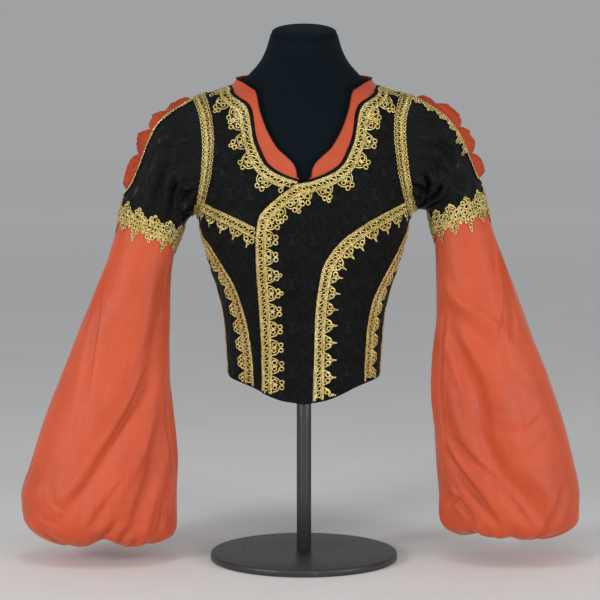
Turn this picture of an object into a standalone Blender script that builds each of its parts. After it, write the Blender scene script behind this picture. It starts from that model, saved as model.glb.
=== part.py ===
"""Doublet with slit upper sleeves and full lower sleeves, on a limbless dress form.

Metres, +Z up.  The front faces -Y and the wearer's left is +X.  The origin is
the centre of the stand base's underside.  Sizes below are in millimetres and
are turned into metres when a mesh is made.

The form is a stack of rounded cross sections.  A place on it is named by its
turn (degrees round the axis: 0 front, 90 the wearer's left, 180 back) and its
height.  Every cloth piece is a wall a few millimetres outside that surface.
"""
import math

import bpy
import numpy as np

for old in list(bpy.data.objects):
    bpy.data.objects.remove(old, do_unlink=True)

# ---------------------------------------------------------------- sizes (mm)
EASE = 3.0            # from the form's surface to the cloth
FORM_SLACK = 1.5      # the form itself is this much smaller
WALL = 2.0            # brocade with its backing
SILK_WALL = 1.6       # silk with its backing
SEAM = 0.25           # each piece stops this short of the seam line
LACE_LIFT = 2.2       # lace lies this far off the cloth below it
LACE_WALL = 1.5
LACE_WIDTH = 37.0     # straight edge to the tips of the scallops
LACE_VALLEY = 29.0    # straight edge to the hollows between them
LACE_BRAID = 18.0     # the close braid along the straight edge
LACE_PITCH = 36.0     # from tip to tip
BRAID_WIDTH = 22.0    # double braid round the armhole
LAP_RISE = 3.6        # the left front lies this much higher where it laps over
LAP_UNDER = 11.0      # degrees of turn that the right front goes under

BASE_RADIUS = 160.0
BASE_HEIGHT = 12.0
BASE_EDGE = 4.0
POLE_RADIUS = 12.5
FORM_BOTTOM = 338.0
TOUCH = 0.3           # gap between pieces of the stand that rest on each other

# the dress form: a row for each cross section
FORM = np.array([
    # height, half_width, front, back, centre_y, squareness, lean
    (335, 124, 97, 88, 0, 2.30, 0),
    (368, 126, 98, 88, 0, 2.30, 0),
    (416, 130, 101, 92, 0, 2.30, 0),
    (460, 139, 107, 99, 0, 2.30, 0),
    (513, 157, 115, 108, 0, 2.35, 0),
    (564, 170, 121, 115, 2, 2.40, 0),
    (600, 177, 122, 119, 3, 2.40, 0),
    (645, 184, 119, 121, 4, 2.40, 0),
    (690, 188, 112, 119, 5, 2.35, 0),
    (730, 190, 102, 112, 6, 2.20, 0),
    (758, 189, 92, 102, 6, 2.05, 0),
    (776, 186, 84, 93, 5, 1.90, 0),
    (786, 177, 78, 86, 4, 1.80, 0),
    (793, 157, 73, 80, 3, 1.80, 0),
    (800, 131, 68, 74, 2, 1.85, .02),
    (812, 110, 63, 68, 0, 1.95, .05),
    (828, 94, 59, 63, -3, 2.00, .08),
    (850, 75, 57, 59, -9, 2.00, .12),
    (870, 65, 57, 57, -15, 2.00, .16),
    (893, 58, 56, 55, -20, 2.00, .21)], float)

# seam lines on the form, one row for each place: turn, height
NECK = [(88, 806), (78, 801), (67, 792), (58, 784), (51, 776), (46, 763), (42, 743),
        (38, 721), (33, 700), (28, 682), (20, 669), (12, 661), (4, 656)]
NECK_BACK = [(88, 806), (100, 806), (120, 809), (150, 812), (180, 813)]
COLLAR = [(88, 815), (72, 811), (59, 801), (50, 791), (45, 780), (39, 761), (33, 741),
          (27, 722), (21, 706), (14, 694), (8, 682), (5.5, 671), (4.5, 659)]
COLLAR_BACK = [(88, 815), (105, 817), (130, 820), (155, 824), (180, 825)]
CLOSURE = [(-4, 649), (-13, 638), (-21, 624), (-27, 611), (-32, 595), (-34.5, 562),
           (-36, 516), (-37, 470), (-38, 407), (-38, 352), (-38, 291)]
PRINCESS = [(72, 622), (60, 609), (51, 596), (39, 577), (28, 557), (20, 534), (14.5, 510),
            (12, 478), (10, 435), (9.5, 380), (9, 327), (8.5, 281)]
PRINCESS_RIGHT = [(72, 622), (56, 605), (47, 593), (37, 580), (29, 570), (23, 562)]
SIDE_LEFT = [(84.4, 596), (77, 568), (71, 540), (65, 509), (60, 474), (56.5, 437),
             (55.5, 400), (55, 350), (55, 312)]
SIDE_RIGHT = [(84.4, 596), (78, 566), (68, 541), (61, 512), (55, 478), (51.5, 437),
              (48.5, 400), (46.5, 357), (45, 305)]
BACK_SEAM = [(110, 630), (115, 600), (113, 560), (107, 510), (101, 460), (98, 420),
             (97, 380), (97, 320)]
# the right front's edge below the left front, as places on its own side
UNDER_TOP = [(4, 656), (1, 645), (2, 636), (9, 622), (15, 607), (20, 590), (23, 562)]
UNDER_LOW = [(25, 540), (25, 500), (26, 450), (27, 380), (27, 291)]
# where laces begin beside the armhole braid, and the neck lace's straight edge
NECK_LACE = [(88, 803), (78, 799), (68, 790), (60, 782), (53, 774), (48, 761), (44, 742),
             (40, 719), (35, 697), (29.5, 678), (20.5, 664), (12, 657), (5, 652)]
NECK_BACK_LACE = [(92, 803), (102, 802), (120, 804), (150, 807), (180, 808)]
PRINCESS_LACE_TOP = (66, 618)
PRINCESS_LACE_END = (36, 578)
SIDE_LACE_TOP = (80, 577)
BACK_LACE_TOP = (115, 612)
HEM = [(0, 280), (20, 285), (37, 292), (46, 305), (58, 311), (77, 317), (90, 320),
       (130, 319), (180, 318)]

# the armhole: half as tall as ARM_RISE, its front edge at turn 90 - ARM_TURN
ARM_MID, ARM_RISE, ARM_TURN = 692.0, 97.0, 25.0
ARM_FRONT, ARM_SIDE, ARM_BACK = 136.0, 170.0, 230.0   # where seams meet it, degrees
                                                      # round it from the top
ARM_STEPS = [0, 9, 22, 40, 62, 87, 112, ARM_FRONT]     # closer over the shoulder
ARM_STEPS_BACK = [360, 351, 338, 320, 299, 276, 253, ARM_BACK]

# sleeves: a row for each section, from the armhole to the gathered mouth
SLEEVE_RIGHT = np.array([
    # s, outer_x, outer_z, inner_x, inner_z, half_depth, mid_y
    (0.00, 188, 790, 182, 594, 74, 0),
    (0.12, 205, 781, 187, 592, 77, 0),
    (0.25, 228, 767, 191, 588, 80, -1),
    (0.45, 254, 740, 195, 584, 80, -3),
    (0.65, 271, 700, 198, 580, 74, -4),
    (0.85, 289, 653, 200, 576, 64, -4),
    (1.00, 305, 620, 202, 573, 56, -4),
    (1.12, 311, 593, 210, 551, 54, -4),
    (1.24, 317, 566, 219, 528, 55, -4),
    (1.32, 325, 540, 223, 508, 59, -4),
    (1.45, 338, 500, 226, 480, 65, -4),
    (1.60, 361, 447, 228, 440, 72, -5),
    (1.85, 400, 350, 229, 350, 80, -6),
    (2.10, 437, 257, 227, 262, 86, -7),
    (2.35, 466, 168, 219, 170, 90, -8),
    (2.52, 483, 108, 217, 108, 92, -8),
    (2.62, 480, 73, 217, 66, 90, -8),
    (2.72, 457, 45, 225, 43, 82, -8),
    (2.80, 418, 30, 250, 32, 64, -6),
    (2.88, 385, 37, 285, 39, 48, -4),
    (3.00, 378, 74, 290, 76, 44, -4)], float)
SLEEVE_LEFT = np.array([
    (0.00, 188, 792, 182, 597, 74, 0),
    (0.12, 205, 786, 187, 598, 77, 0),
    (0.25, 229, 769, 190, 599, 80, -1),
    (0.45, 256, 742, 194, 600, 80, -3),
    (0.65, 274, 708, 199, 600, 74, -4),
    (0.85, 288, 670, 204, 599, 64, -4),
    (1.00, 300, 641, 209, 596, 56, -4),
    (1.12, 307, 613, 215, 571, 54, -4),
    (1.24, 314, 584, 221, 545, 55, -4),
    (1.32, 322, 558, 223, 522, 59, -4),
    (1.45, 336, 520, 224, 490, 65, -4),
    (1.60, 357, 468, 225, 445, 72, -5),
    (1.85, 391, 376, 224, 370, 80, -6),
    (2.10, 424, 293, 221, 290, 86, -7),
    (2.35, 453, 197, 224, 200, 90, -8),
    (2.52, 471, 110, 230, 122, 92, -8),
    (2.62, 471, 72, 235, 82, 89, -8),
    (2.72, 450, 50, 247, 62, 81, -8),
    (2.80, 412, 40, 272, 52, 64, -6),
    (2.88, 381, 48, 297, 57, 48, -4),
    (3.00, 375, 84, 300, 88, 44, -4)], float)
SLEEVE_SQUARE = 2.15
UPPER_END, LOWER_START, MOUTH = 1.115, 1.125, 3.0
LACE_TOP, LACE_BOTTOM = 1.00, 1.24     # of the band round the upper arm
GATHERS, GATHER_DEPTH = 7, 4.0

# soft troughs down the lower sleeves, degrees round them: 90 is the front
FOLDS_RIGHT = [
    # from_deg, to_deg, width_deg, depth, s_from, s_to
    (35, 30, 16, 9, 1.35, 2.35),
    (130, 62, 18, 12, 1.75, 2.75),
    (158, 118, 17, 10, 1.30, 2.20),
    (215, 235, 20, 10, 1.40, 2.60),
    (300, 285, 20, 11, 1.55, 2.70)]
FOLDS_LEFT = [
    (28, 30, 16, 9, 1.30, 2.10),
    (150, 95, 17, 12, 1.60, 2.75),
    (100, 55, 17, 9, 1.95, 2.75),
    (230, 220, 20, 10, 1.40, 2.60),
    (310, 290, 20, 11, 1.50, 2.70)]

PUFFS, PUFF_RISE, PUFF_LOW = 4, 17.0, 6.0
SLIT = [(0, .4), (.10, .4), (.18, 9), (.30, 20), (.50, 24), (.72, 24), (.92, 18), (1.0, .4),
        (1.2, .4)]    # s, half of its opening in degrees round the sleeve
SLIT_BRAID = 6.0

# rows and columns of the walls
ROWS_NECK, ROWS_FRONT, ROWS_UNDER = 7, 10, 4
COLS_FRONT, COLS_SIDE_FRONT, COLS_SIDE, COLS_BACK_NECK, ROWS_SHOULDER = 6, 4, 4, 5, 2
CUFF_COLS, SLEEVE_COLS, FORM_COLS = 26, 20, 32

# the neck band's side stands this far off; the cord along its inner edge
BAND_STAND = 5.0
CORD_IN, CORD_WIDTH, CORD_LIFT, CORD_WALL = 0.5, 2.6, 0.6, 1.8

# the form's cap: half its width, and scale and height of each ring
CAP_HALF = 54.5
CAP = [(1.0, TOUCH), (1.0, 5.0), (0.93, 8.5), (0.6, 11.5), (0.15, 12.8)]


# ----------------------------------------------------------- smooth tables
def through(x, y):
    """A smooth line through a table's rows, with no overshoot between them."""
    x, y = np.asarray(x, float), np.asarray(y, float)
    h = np.diff(x)
    d = np.diff(y) / h
    m = np.zeros(len(x))
    m[0], m[-1] = d[0], d[-1]
    for i in range(1, len(x) - 1):
        if d[i - 1] * d[i] > 0:
            w1, w2 = 2 * h[i] + h[i - 1], h[i] + 2 * h[i - 1]
            m[i] = (w1 + w2) / (w1 / d[i - 1] + w2 / d[i])

    def read(q):
        q = np.clip(np.asarray(q, float), x[0], x[-1])
        i = np.clip(np.searchsorted(x, q) - 1, 0, len(h) - 1)
        t = (q - x[i]) / h[i]
        return ((2 * t**3 - 3 * t**2 + 1) * y[i] + (t**3 - 2 * t**2 + t) * h[i] * m[i]
                + (3 * t**2 - 2 * t**3) * y[i + 1] + (t**3 - t**2) * h[i] * m[i + 1])
    return read


def ease(t):
    t = np.clip(t, 0, 1)
    return t * t * (3 - 2 * t)


def unit(v):
    return v / np.maximum(np.linalg.norm(v, axis=-1, keepdims=True), 1e-9)


# ------------------------------------------------------------ form surface
FORM_COLUMNS = [through(FORM[:, 0], FORM[:, k]) for k in range(1, 7)]


def form_point(turn, height):
    turn, height = np.broadcast_arrays(np.asarray(turn, float), np.asarray(height, float))
    wide, front, back, mid, square, lean = [c(height) for c in FORM_COLUMNS]
    s, c = np.sin(np.radians(turn)), np.cos(np.radians(turn))
    deep = np.where(c > 0, front, back)
    reach = ((np.abs(s) / wide)**square + (np.abs(c) / deep)**square)**(-1 / square)
    # below the last section the cloth goes straight down
    extra = np.minimum(height - FORM[0, 0], 0)
    y = -reach * c
    return np.stack([reach * s, mid + y, np.maximum(height, FORM[0, 0]) + extra + lean * y], -1)


def form_normal(turn, height):
    du = form_point(turn + 0.6, height) - form_point(turn - 0.6, height)
    dv = form_point(turn, height + 0.6) - form_point(turn, height - 0.6)
    return unit(np.cross(du, dv))


def over_form(turn, height, off):
    return form_point(turn, height) + form_normal(turn, height) * np.asarray(off)[..., None]


def walk(turn, height, vec):
    """The place reached from (turn, height) by moving vec (mm) over the surface."""
    for _ in range(3):
        du = (form_point(turn + 0.5, height) - form_point(turn - 0.5, height))
        dv = (form_point(turn, height + 0.5) - form_point(turn, height - 0.5))
        uu, uv, vv = (du * du).sum(-1), (du * dv).sum(-1), (dv * dv).sum(-1)
        a, b = (du * vec).sum(-1) / 3, (dv * vec).sum(-1) / 3
        det = uu * vv - uv * uv
        turn, height = turn + (a * vv - b * uv) / det, height + (b * uu - a * uv) / det
    return turn, height


def resample(rows, parts):
    """parts + 1 places at equal steps along a line given by (turn, height) rows."""
    rows = np.asarray(rows, float)
    p = form_point(rows[:, 0], rows[:, 1])
    s = np.concatenate([[0], np.cumsum(np.linalg.norm(np.diff(p, axis=0), axis=1))])
    t = np.linspace(0, s[-1], parts + 1)
    return np.stack([through(s, rows[:, 0])(t), through(s, rows[:, 1])(t)], -1)


def length(rows):
    rows = np.asarray(rows, float)
    p = form_point(rows[:, 0], rows[:, 1])
    return np.linalg.norm(np.diff(p, axis=0), axis=1).sum()


def mirror(rows):
    return [(-t, z) for t, z in rows]


def armhole(deg):
    """Turn and height round the armhole, from its top by the front."""
    s, c = np.sin(np.radians(deg)), np.cos(np.radians(deg))
    return np.stack([90 - ARM_TURN * np.sign(s) * np.abs(s)**0.85, ARM_MID + ARM_RISE * c], -1)


def arc(start, stop, parts):
    return armhole(np.linspace(start, stop, parts + 1))


def hem(turn):
    table = np.array(HEM, float)
    return through(table[:, 0], table[:, 1])(np.abs((np.asarray(turn) + 180) % 360 - 180))


under_edge = through([z for _, z in CLOSURE[::-1]], [t + LAP_UNDER for t, _ in CLOSURE[::-1]])


def lap(turn, height):
    """How much higher the left front lies where the right front is below it."""
    return LAP_RISE * (1 - ease((turn - under_edge(height) - 5) / 13))


# ------------------------------------------------------------ mesh makers
def signed_volume(v, f):
    a, b, c = v[f[:, 0]], v[f[:, 1]], v[f[:, 2]]
    return (a * np.cross(b, c)).sum() / 6


MATERIALS = {}


def material(name, colour, rough, metal=0.0):
    m = bpy.data.materials.new(name)
    m.use_nodes = True
    b = m.node_tree.nodes["Principled BSDF"]
    b.inputs["Base Color"].default_value = (*colour, 1)
    b.inputs["Roughness"].default_value = rough
    b.inputs["Metallic"].default_value = metal
    m.diffuse_color = (*colour, 1)
    return m


LOOKS = {
    # name: colour, roughness, metallic
    "brocade": ((0.012, 0.012, 0.013), 0.55, 0.0),
    "silk": ((0.60, 0.10, 0.045), 0.50, 0.0),
    "gold": ((0.62, 0.42, 0.13), 0.42, 0.6),
    "cord": ((0.010, 0.010, 0.011), 0.6, 0.0),
    "slate": ((0.012, 0.016, 0.021), 0.6, 0.0),
    "steel": ((0.03, 0.03, 0.032), 0.4, 0.6)}


def make(name, verts, faces, look):
    """One closed body from triangles in millimetres, its faces turned outward."""
    verts, faces = np.asarray(verts, float) * 0.001, np.asarray(faces, int)
    if signed_volume(verts, faces) < 0:
        faces = faces[:, ::-1]
    mesh = bpy.data.meshes.new(name)
    mesh.from_pydata(verts.tolist(), [], faces.tolist())
    mesh.shade_smooth()
    mesh.set_sharp_from_angle(angle=math.radians(50))
    colour, rough, metal = LOOKS[look]
    mesh.materials.append(material(name + "_" + look, colour, rough, metal))
    ob = bpy.data.objects.new(name, mesh)
    bpy.context.scene.collection.objects.link(ob)
    return ob


def grid_faces(rows, cols, start, around):
    out = []
    for i in range(rows - 1):
        for j in range(cols if around else cols - 1):
            a, b = start + i * cols + j, start + i * cols + (j + 1) % cols
            c, d = b + cols, a + cols
            out += [(a, b, c), (a, c, d)]
    return out


def wall(name, outer, inner, look, around=False):
    """A cloth wall between two grids of points; around joins its first and last column."""
    rows, cols = outer.shape[:2]
    n = rows * cols
    faces = grid_faces(rows, cols, 0, around)
    faces += [(c, b, a) for a, b, c in grid_faces(rows, cols, n, around)]
    top, end = list(range(cols)), list(range((rows - 1) * cols, n))
    if around:
        rims = [top + top[:1], (end + end[:1])[::-1]]
    else:
        right = list(range(cols - 1, n, cols))
        left = list(range(0, n, cols))
        rims = [top + right[1:] + end[::-1][1:] + left[::-1][1:]]
    for rim in rims:
        for a, b in zip(rim[:-1], rim[1:]):
            faces += [(b, a, a + n), (b, a + n, b + n)]
    return make(name, np.concatenate([outer.reshape(-1, 3), inner.reshape(-1, 3)]), faces, look)


def turned(name, profile, look, sides, centre=(0, 0)):
    """A round piece from (radius, height) rows, closed at both ends."""
    ang = np.linspace(0, 2 * np.pi, sides, endpoint=False)
    verts, faces = [], []
    for r, z in profile:
        verts += [(centre[0] + r * math.cos(a), centre[1] + r * math.sin(a), z) for a in ang]
    faces += grid_faces(len(profile), sides, 0, True)
    for k, first in ((0, 0), (len(profile) - 1, (len(profile) - 1) * sides)):
        verts.append((centre[0], centre[1], profile[k][1]))
        hub = len(verts) - 1
        for j in range(sides):
            a, b = first + j, first + (j + 1) % sides
            faces.append((b, a, hub) if k == 0 else (a, b, hub))
    return make(name, verts, faces, look)


# ---------------------------------------------------------- bodice panels
def patch(first, last, top, bottom, side=1):
    """Places over a four-sided panel, blended from its four seam lines."""
    first, last, top, bottom = [np.asarray(x, float) for x in (first, last, top, bottom)]
    v = np.linspace(0, 1, len(first))[:, None, None]
    u = np.linspace(0, 1, len(top))[None, :, None]
    g = ((1 - u) * first[:, None] + u * last[:, None] + (1 - v) * top[None] + v * bottom[None]
         - (1 - u) * (1 - v) * first[0] - u * (1 - v) * last[0]
         - (1 - u) * v * first[-1] - u * v * last[-1])
    return g * np.array([side, 1.0])


def inset(g, gap=SEAM):
    """Draw a grid of places in by the seam gap on all four sides."""
    p = form_point(g[..., 0], g[..., 1])
    push = np.zeros_like(p)
    push[0] += unit(p[1] - p[0]) * gap
    push[-1] += unit(p[-2] - p[-1]) * gap
    push[:, 0] += unit(p[:, 1] - p[:, 0]) * gap
    push[:, -1] += unit(p[:, -2] - p[:, -1]) * gap
    turn, height = walk(g[..., 0], g[..., 1], push)
    return np.stack([turn, height], -1)


def panel(name, g, look="brocade", raised=None):
    g = inset(g)
    turn, height = g[..., 0], g[..., 1]
    rise = raised(turn, height) if raised else 0 * turn
    return wall(name, over_form(turn, height, EASE + WALL + rise),
                over_form(turn, height, EASE + rise), look)


def straight(a, b, parts):
    return np.linspace(np.asarray(a, float), np.asarray(b, float), parts + 1)


def hem_line(a, b, parts):
    t = np.linspace(a, b, parts + 1)
    return np.stack([t, hem(t)], -1)


def to_hem(rows):
    """The same seam line with its last row on the hem."""
    rows = [tuple(r) for r in rows]
    return rows[:-1] + [(rows[-1][0], float(hem(rows[-1][0])))]


def joined(start, rows):
    """A seam line whose first row is moved to where it meets the armhole."""
    return [tuple(armhole(start))] + [tuple(r) for r in rows[1:]]


princess_left = resample(to_hem(joined(ARM_FRONT, PRINCESS)), ROWS_FRONT)
princess_right = resample(joined(ARM_FRONT, PRINCESS_RIGHT), ROWS_UNDER)
side_left = resample(to_hem(joined(ARM_SIDE, SIDE_LEFT)), ROWS_FRONT)
side_right = resample(to_hem(joined(ARM_SIDE, SIDE_RIGHT)), ROWS_FRONT)
back_seam = resample(to_hem(joined(ARM_BACK, BACK_SEAM)), ROWS_FRONT)
neck_line = resample(NECK, ROWS_NECK)
neck_back = resample(NECK_BACK, COLS_BACK_NECK)
closure = resample(to_hem(CLOSURE), ROWS_FRONT)
arm_front = armhole(np.array(ARM_STEPS))
arm_under = arc(ARM_FRONT, ARM_SIDE, COLS_SIDE_FRONT)
arm_side = arc(ARM_SIDE, ARM_BACK, COLS_SIDE)
arm_back = armhole(np.array(ARM_STEPS_BACK))
ARM_STATIONS = np.concatenate([
    ARM_STEPS, np.linspace(ARM_FRONT, ARM_SIDE, COLS_SIDE_FRONT + 1)[1:],
    np.linspace(ARM_SIDE, ARM_BACK, COLS_SIDE + 1)[1:], ARM_STEPS_BACK[::-1][1:]])

# left front: neck and crossing edge on one side, armhole and curved seam on the other
first = np.concatenate([neck_line[:-1], [(0, 653)], closure[1:]])
last = np.concatenate([arm_front, princess_left[1:]])
panel("left_front", patch(first, last, straight(first[0], last[0], COLS_FRONT),
                          hem_line(first[-1, 0], last[-1, 0], COLS_FRONT)), raised=lap)

# right front: its lower corner goes under the left front
first = np.concatenate([neck_line, resample(UNDER_TOP, ROWS_UNDER)[1:]])
last = np.concatenate([arm_front, princess_right[1:]])
panel("right_front", patch(first, last, straight(first[0], last[0], COLS_FRONT),
                           straight(first[-1], last[-1], COLS_FRONT), -1))

# side fronts
panel("left_side_front", patch(princess_left, side_left, arm_under,
                               hem_line(princess_left[-1, 0], side_left[-1, 0], COLS_SIDE_FRONT)))
inner = np.concatenate([princess_right,
                        resample(to_hem([PRINCESS_RIGHT[-1]] + UNDER_LOW),
                                 ROWS_FRONT - ROWS_UNDER)[1:]])
panel("right_side_front", patch(inner, side_right, arm_under,
                                hem_line(inner[-1, 0], side_right[-1, 0], COLS_SIDE_FRONT), -1))

for side, word, seam_line in ((1, "left", side_left), (-1, "right", side_right)):
    panel(word + "_side", patch(seam_line, back_seam, arm_side,
                                hem_line(seam_line[-1, 0], back_seam[-1, 0], COLS_SIDE), side))
    first = np.concatenate([straight(neck_back[0], arm_back[0], ROWS_SHOULDER), arm_back[1:],
                            back_seam[1:]])
    middle = resample([(180, 813), (180, 700), (180, 560), (180, 430), (180, 318)],
                      len(first) - 1)
    panel(word + "_back", patch(first, middle, neck_back,
                                hem_line(back_seam[-1, 0], 180, COLS_BACK_NECK), side))


# ------------------------------------------------------------- neck band
def band(name, outer_edge, inner_edge, side, look="silk"):
    """The neck band: it stands off the form more toward the side of the neck."""
    u = np.linspace(0, 1, 3)[None, :, None]
    g = (1 - u) * outer_edge[:, None] + u * inner_edge[:, None]
    g = g * np.array([side, 1.0])
    g = inset(g)
    stand = BAND_STAND * ease((np.abs(g[..., 0]) - 35) / 40) * u[..., 0]
    turn, height = g[..., 0], g[..., 1]
    outer = over_form(turn, height, EASE + SILK_WALL + stand)
    inner = over_form(turn, height, EASE + stand)
    wall(name, outer, inner, look)


collar_line = resample(COLLAR, ROWS_NECK)
collar_back = resample(COLLAR_BACK, COLS_BACK_NECK)
band("collar_left", neck_line, collar_line, 1)
band("collar_right", neck_line, collar_line, -1)
whole = np.concatenate([neck_back * [-1, 1], neck_back[::-1][1:]])
whole[:, 0] = np.where(whole[:, 0] < 0, whole[:, 0] + 360, whole[:, 0])
whole_in = np.concatenate([collar_back * [-1, 1], collar_back[::-1][1:]])
whole_in[:, 0] = np.where(whole_in[:, 0] < 0, whole_in[:, 0] + 360, whole_in[:, 0])
band_grid = (whole, whole_in)
u = np.linspace(0, 1, 3)[None, :, None]
g = inset((1 - u) * whole[:, None] + u * whole_in[:, None])
stand = BAND_STAND * u[..., 0] * np.ones(g.shape[:2])
wall("collar_back", over_form(g[..., 0], g[..., 1], EASE + SILK_WALL + stand),
     over_form(g[..., 0], g[..., 1], EASE + stand), "silk")


def cord(name, rows, side):
    """Thin flat cord just outside the neck band, along its inner edge."""
    g = resample(rows, ROWS_NECK * 2)
    p = form_point(g[:, 0], g[:, 1])
    away = unit(np.gradient(p, axis=0))
    across = np.cross(form_normal(g[:, 0], g[:, 1]), away)
    low = form_point(g[:, 0] + 1, g[:, 1] - 3) - p
    across *= np.sign((across * low).sum(-1, keepdims=True))
    t0, z0 = walk(g[:, 0], g[:, 1], across * CORD_IN)
    t1, z1 = walk(g[:, 0], g[:, 1], across * (CORD_IN + CORD_WIDTH))
    turn, height = np.stack([t0, t1], 1), np.stack([z0, z1], 1)
    stand = BAND_STAND * ease((np.abs(turn) - 35) / 40)
    off = EASE + SILK_WALL + stand + CORD_LIFT
    wall(name, over_form(turn * side, height, off + CORD_WALL), over_form(turn * side, height, off),
         "cord")


# ---------------------------------------------------------------- sleeves
def toward_middle(deg):
    """Unit vectors over the form from the armhole seam toward the armhole's middle."""
    a = armhole(deg)
    here = form_point(a[..., 0], a[..., 1])
    ahead, behind = armhole(np.asarray(deg) + 1.5), armhole(np.asarray(deg) - 1.5)
    along = unit(form_point(ahead[..., 0], ahead[..., 1]) - form_point(behind[..., 0], behind[..., 1]))
    across = np.cross(form_normal(a[..., 0], a[..., 1]), along)
    to_mid = form_point(90.0, ARM_MID) - here
    return across * np.sign((across * to_mid).sum(-1, keepdims=True))


def sleeve_surface(table, folds, side):
    """Points on a sleeve's outer face, by degrees round it (0 top, 90 front) and s."""
    col = [through(table[:, 0], table[:, k]) for k in range(1, 7)]

    def section(deg, s):
        ox, oz, ix, iz, deep, mid = [c(s) for c in col]
        c, sn = np.cos(np.radians(deg)), np.sin(np.radians(deg))
        c = np.sign(c) * np.abs(c)**(2 / SLEEVE_SQUARE)
        sn = np.sign(sn) * np.abs(sn)**(2 / SLEEVE_SQUARE)
        middle = np.stack([(ox + ix) / 2, mid, (oz + iz) / 2], -1)
        out = np.stack([(ox - ix) / 2 * c, -deep * sn, (oz - iz) / 2 * c], -1)
        return middle, out

    def point(deg, s):
        deg, s = np.broadcast_arrays(np.asarray(deg, float), np.asarray(s, float))
        middle, out = section(deg, s)
        rise = 0 * s
        for at0, at1, width, depth, s0, s1 in folds:
            q = (s - s0) / (s1 - s0)
            where = at0 + (at1 - at0) * np.clip(q, 0, 1)
            gap = (deg - where + 180) % 360 - 180
            rise = rise - depth * np.exp(-(gap / width)**2) * np.sin(np.pi * np.clip(q, 0, 1))**0.8
        rise = rise + (GATHER_DEPTH * np.cos(np.radians(deg * GATHERS))
                       * ease((s - 2.35) / 0.35) * (1 - 0.6 * ease((s - 2.75) / 0.2)))
        ring = middle + out + unit(out) * rise[..., None]
        hole_turn, hole_height = armhole(deg)[..., 0], armhole(deg)[..., 1]
        hole_turn, hole_height = walk(hole_turn, hole_height, toward_middle(deg) * 0.6)
        hole = over_form(hole_turn, hole_height, EASE + WALL)
        w = ease(s / 0.30)[..., None]
        p = (1 - w) * hole + w * ring
        return p * np.array([side, 1.0, 1.0])

    def normal(deg, s):
        du = point(np.asarray(deg) + 1.0, s) - point(np.asarray(deg) - 1.0, s)
        dv = point(deg, np.asarray(s) + 0.006) - point(deg, np.maximum(np.asarray(s) - 0.006, 0))
        return unit(np.cross(du, dv)) * side
    return point, normal


def slit(s):
    """Half the slit's opening, in degrees round the sleeve."""
    table = np.array(SLIT, float)
    return np.interp(s, table[:, 0], table[:, 1])


def sleeve_wall(name, point, normal, deg, s, thick, look, around=False, lift=0.0):
    n = normal(deg, s)
    p = point(deg, s) + n * np.asarray(lift)[..., None]
    wall(name, p, p - n * thick, look, around)


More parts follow.
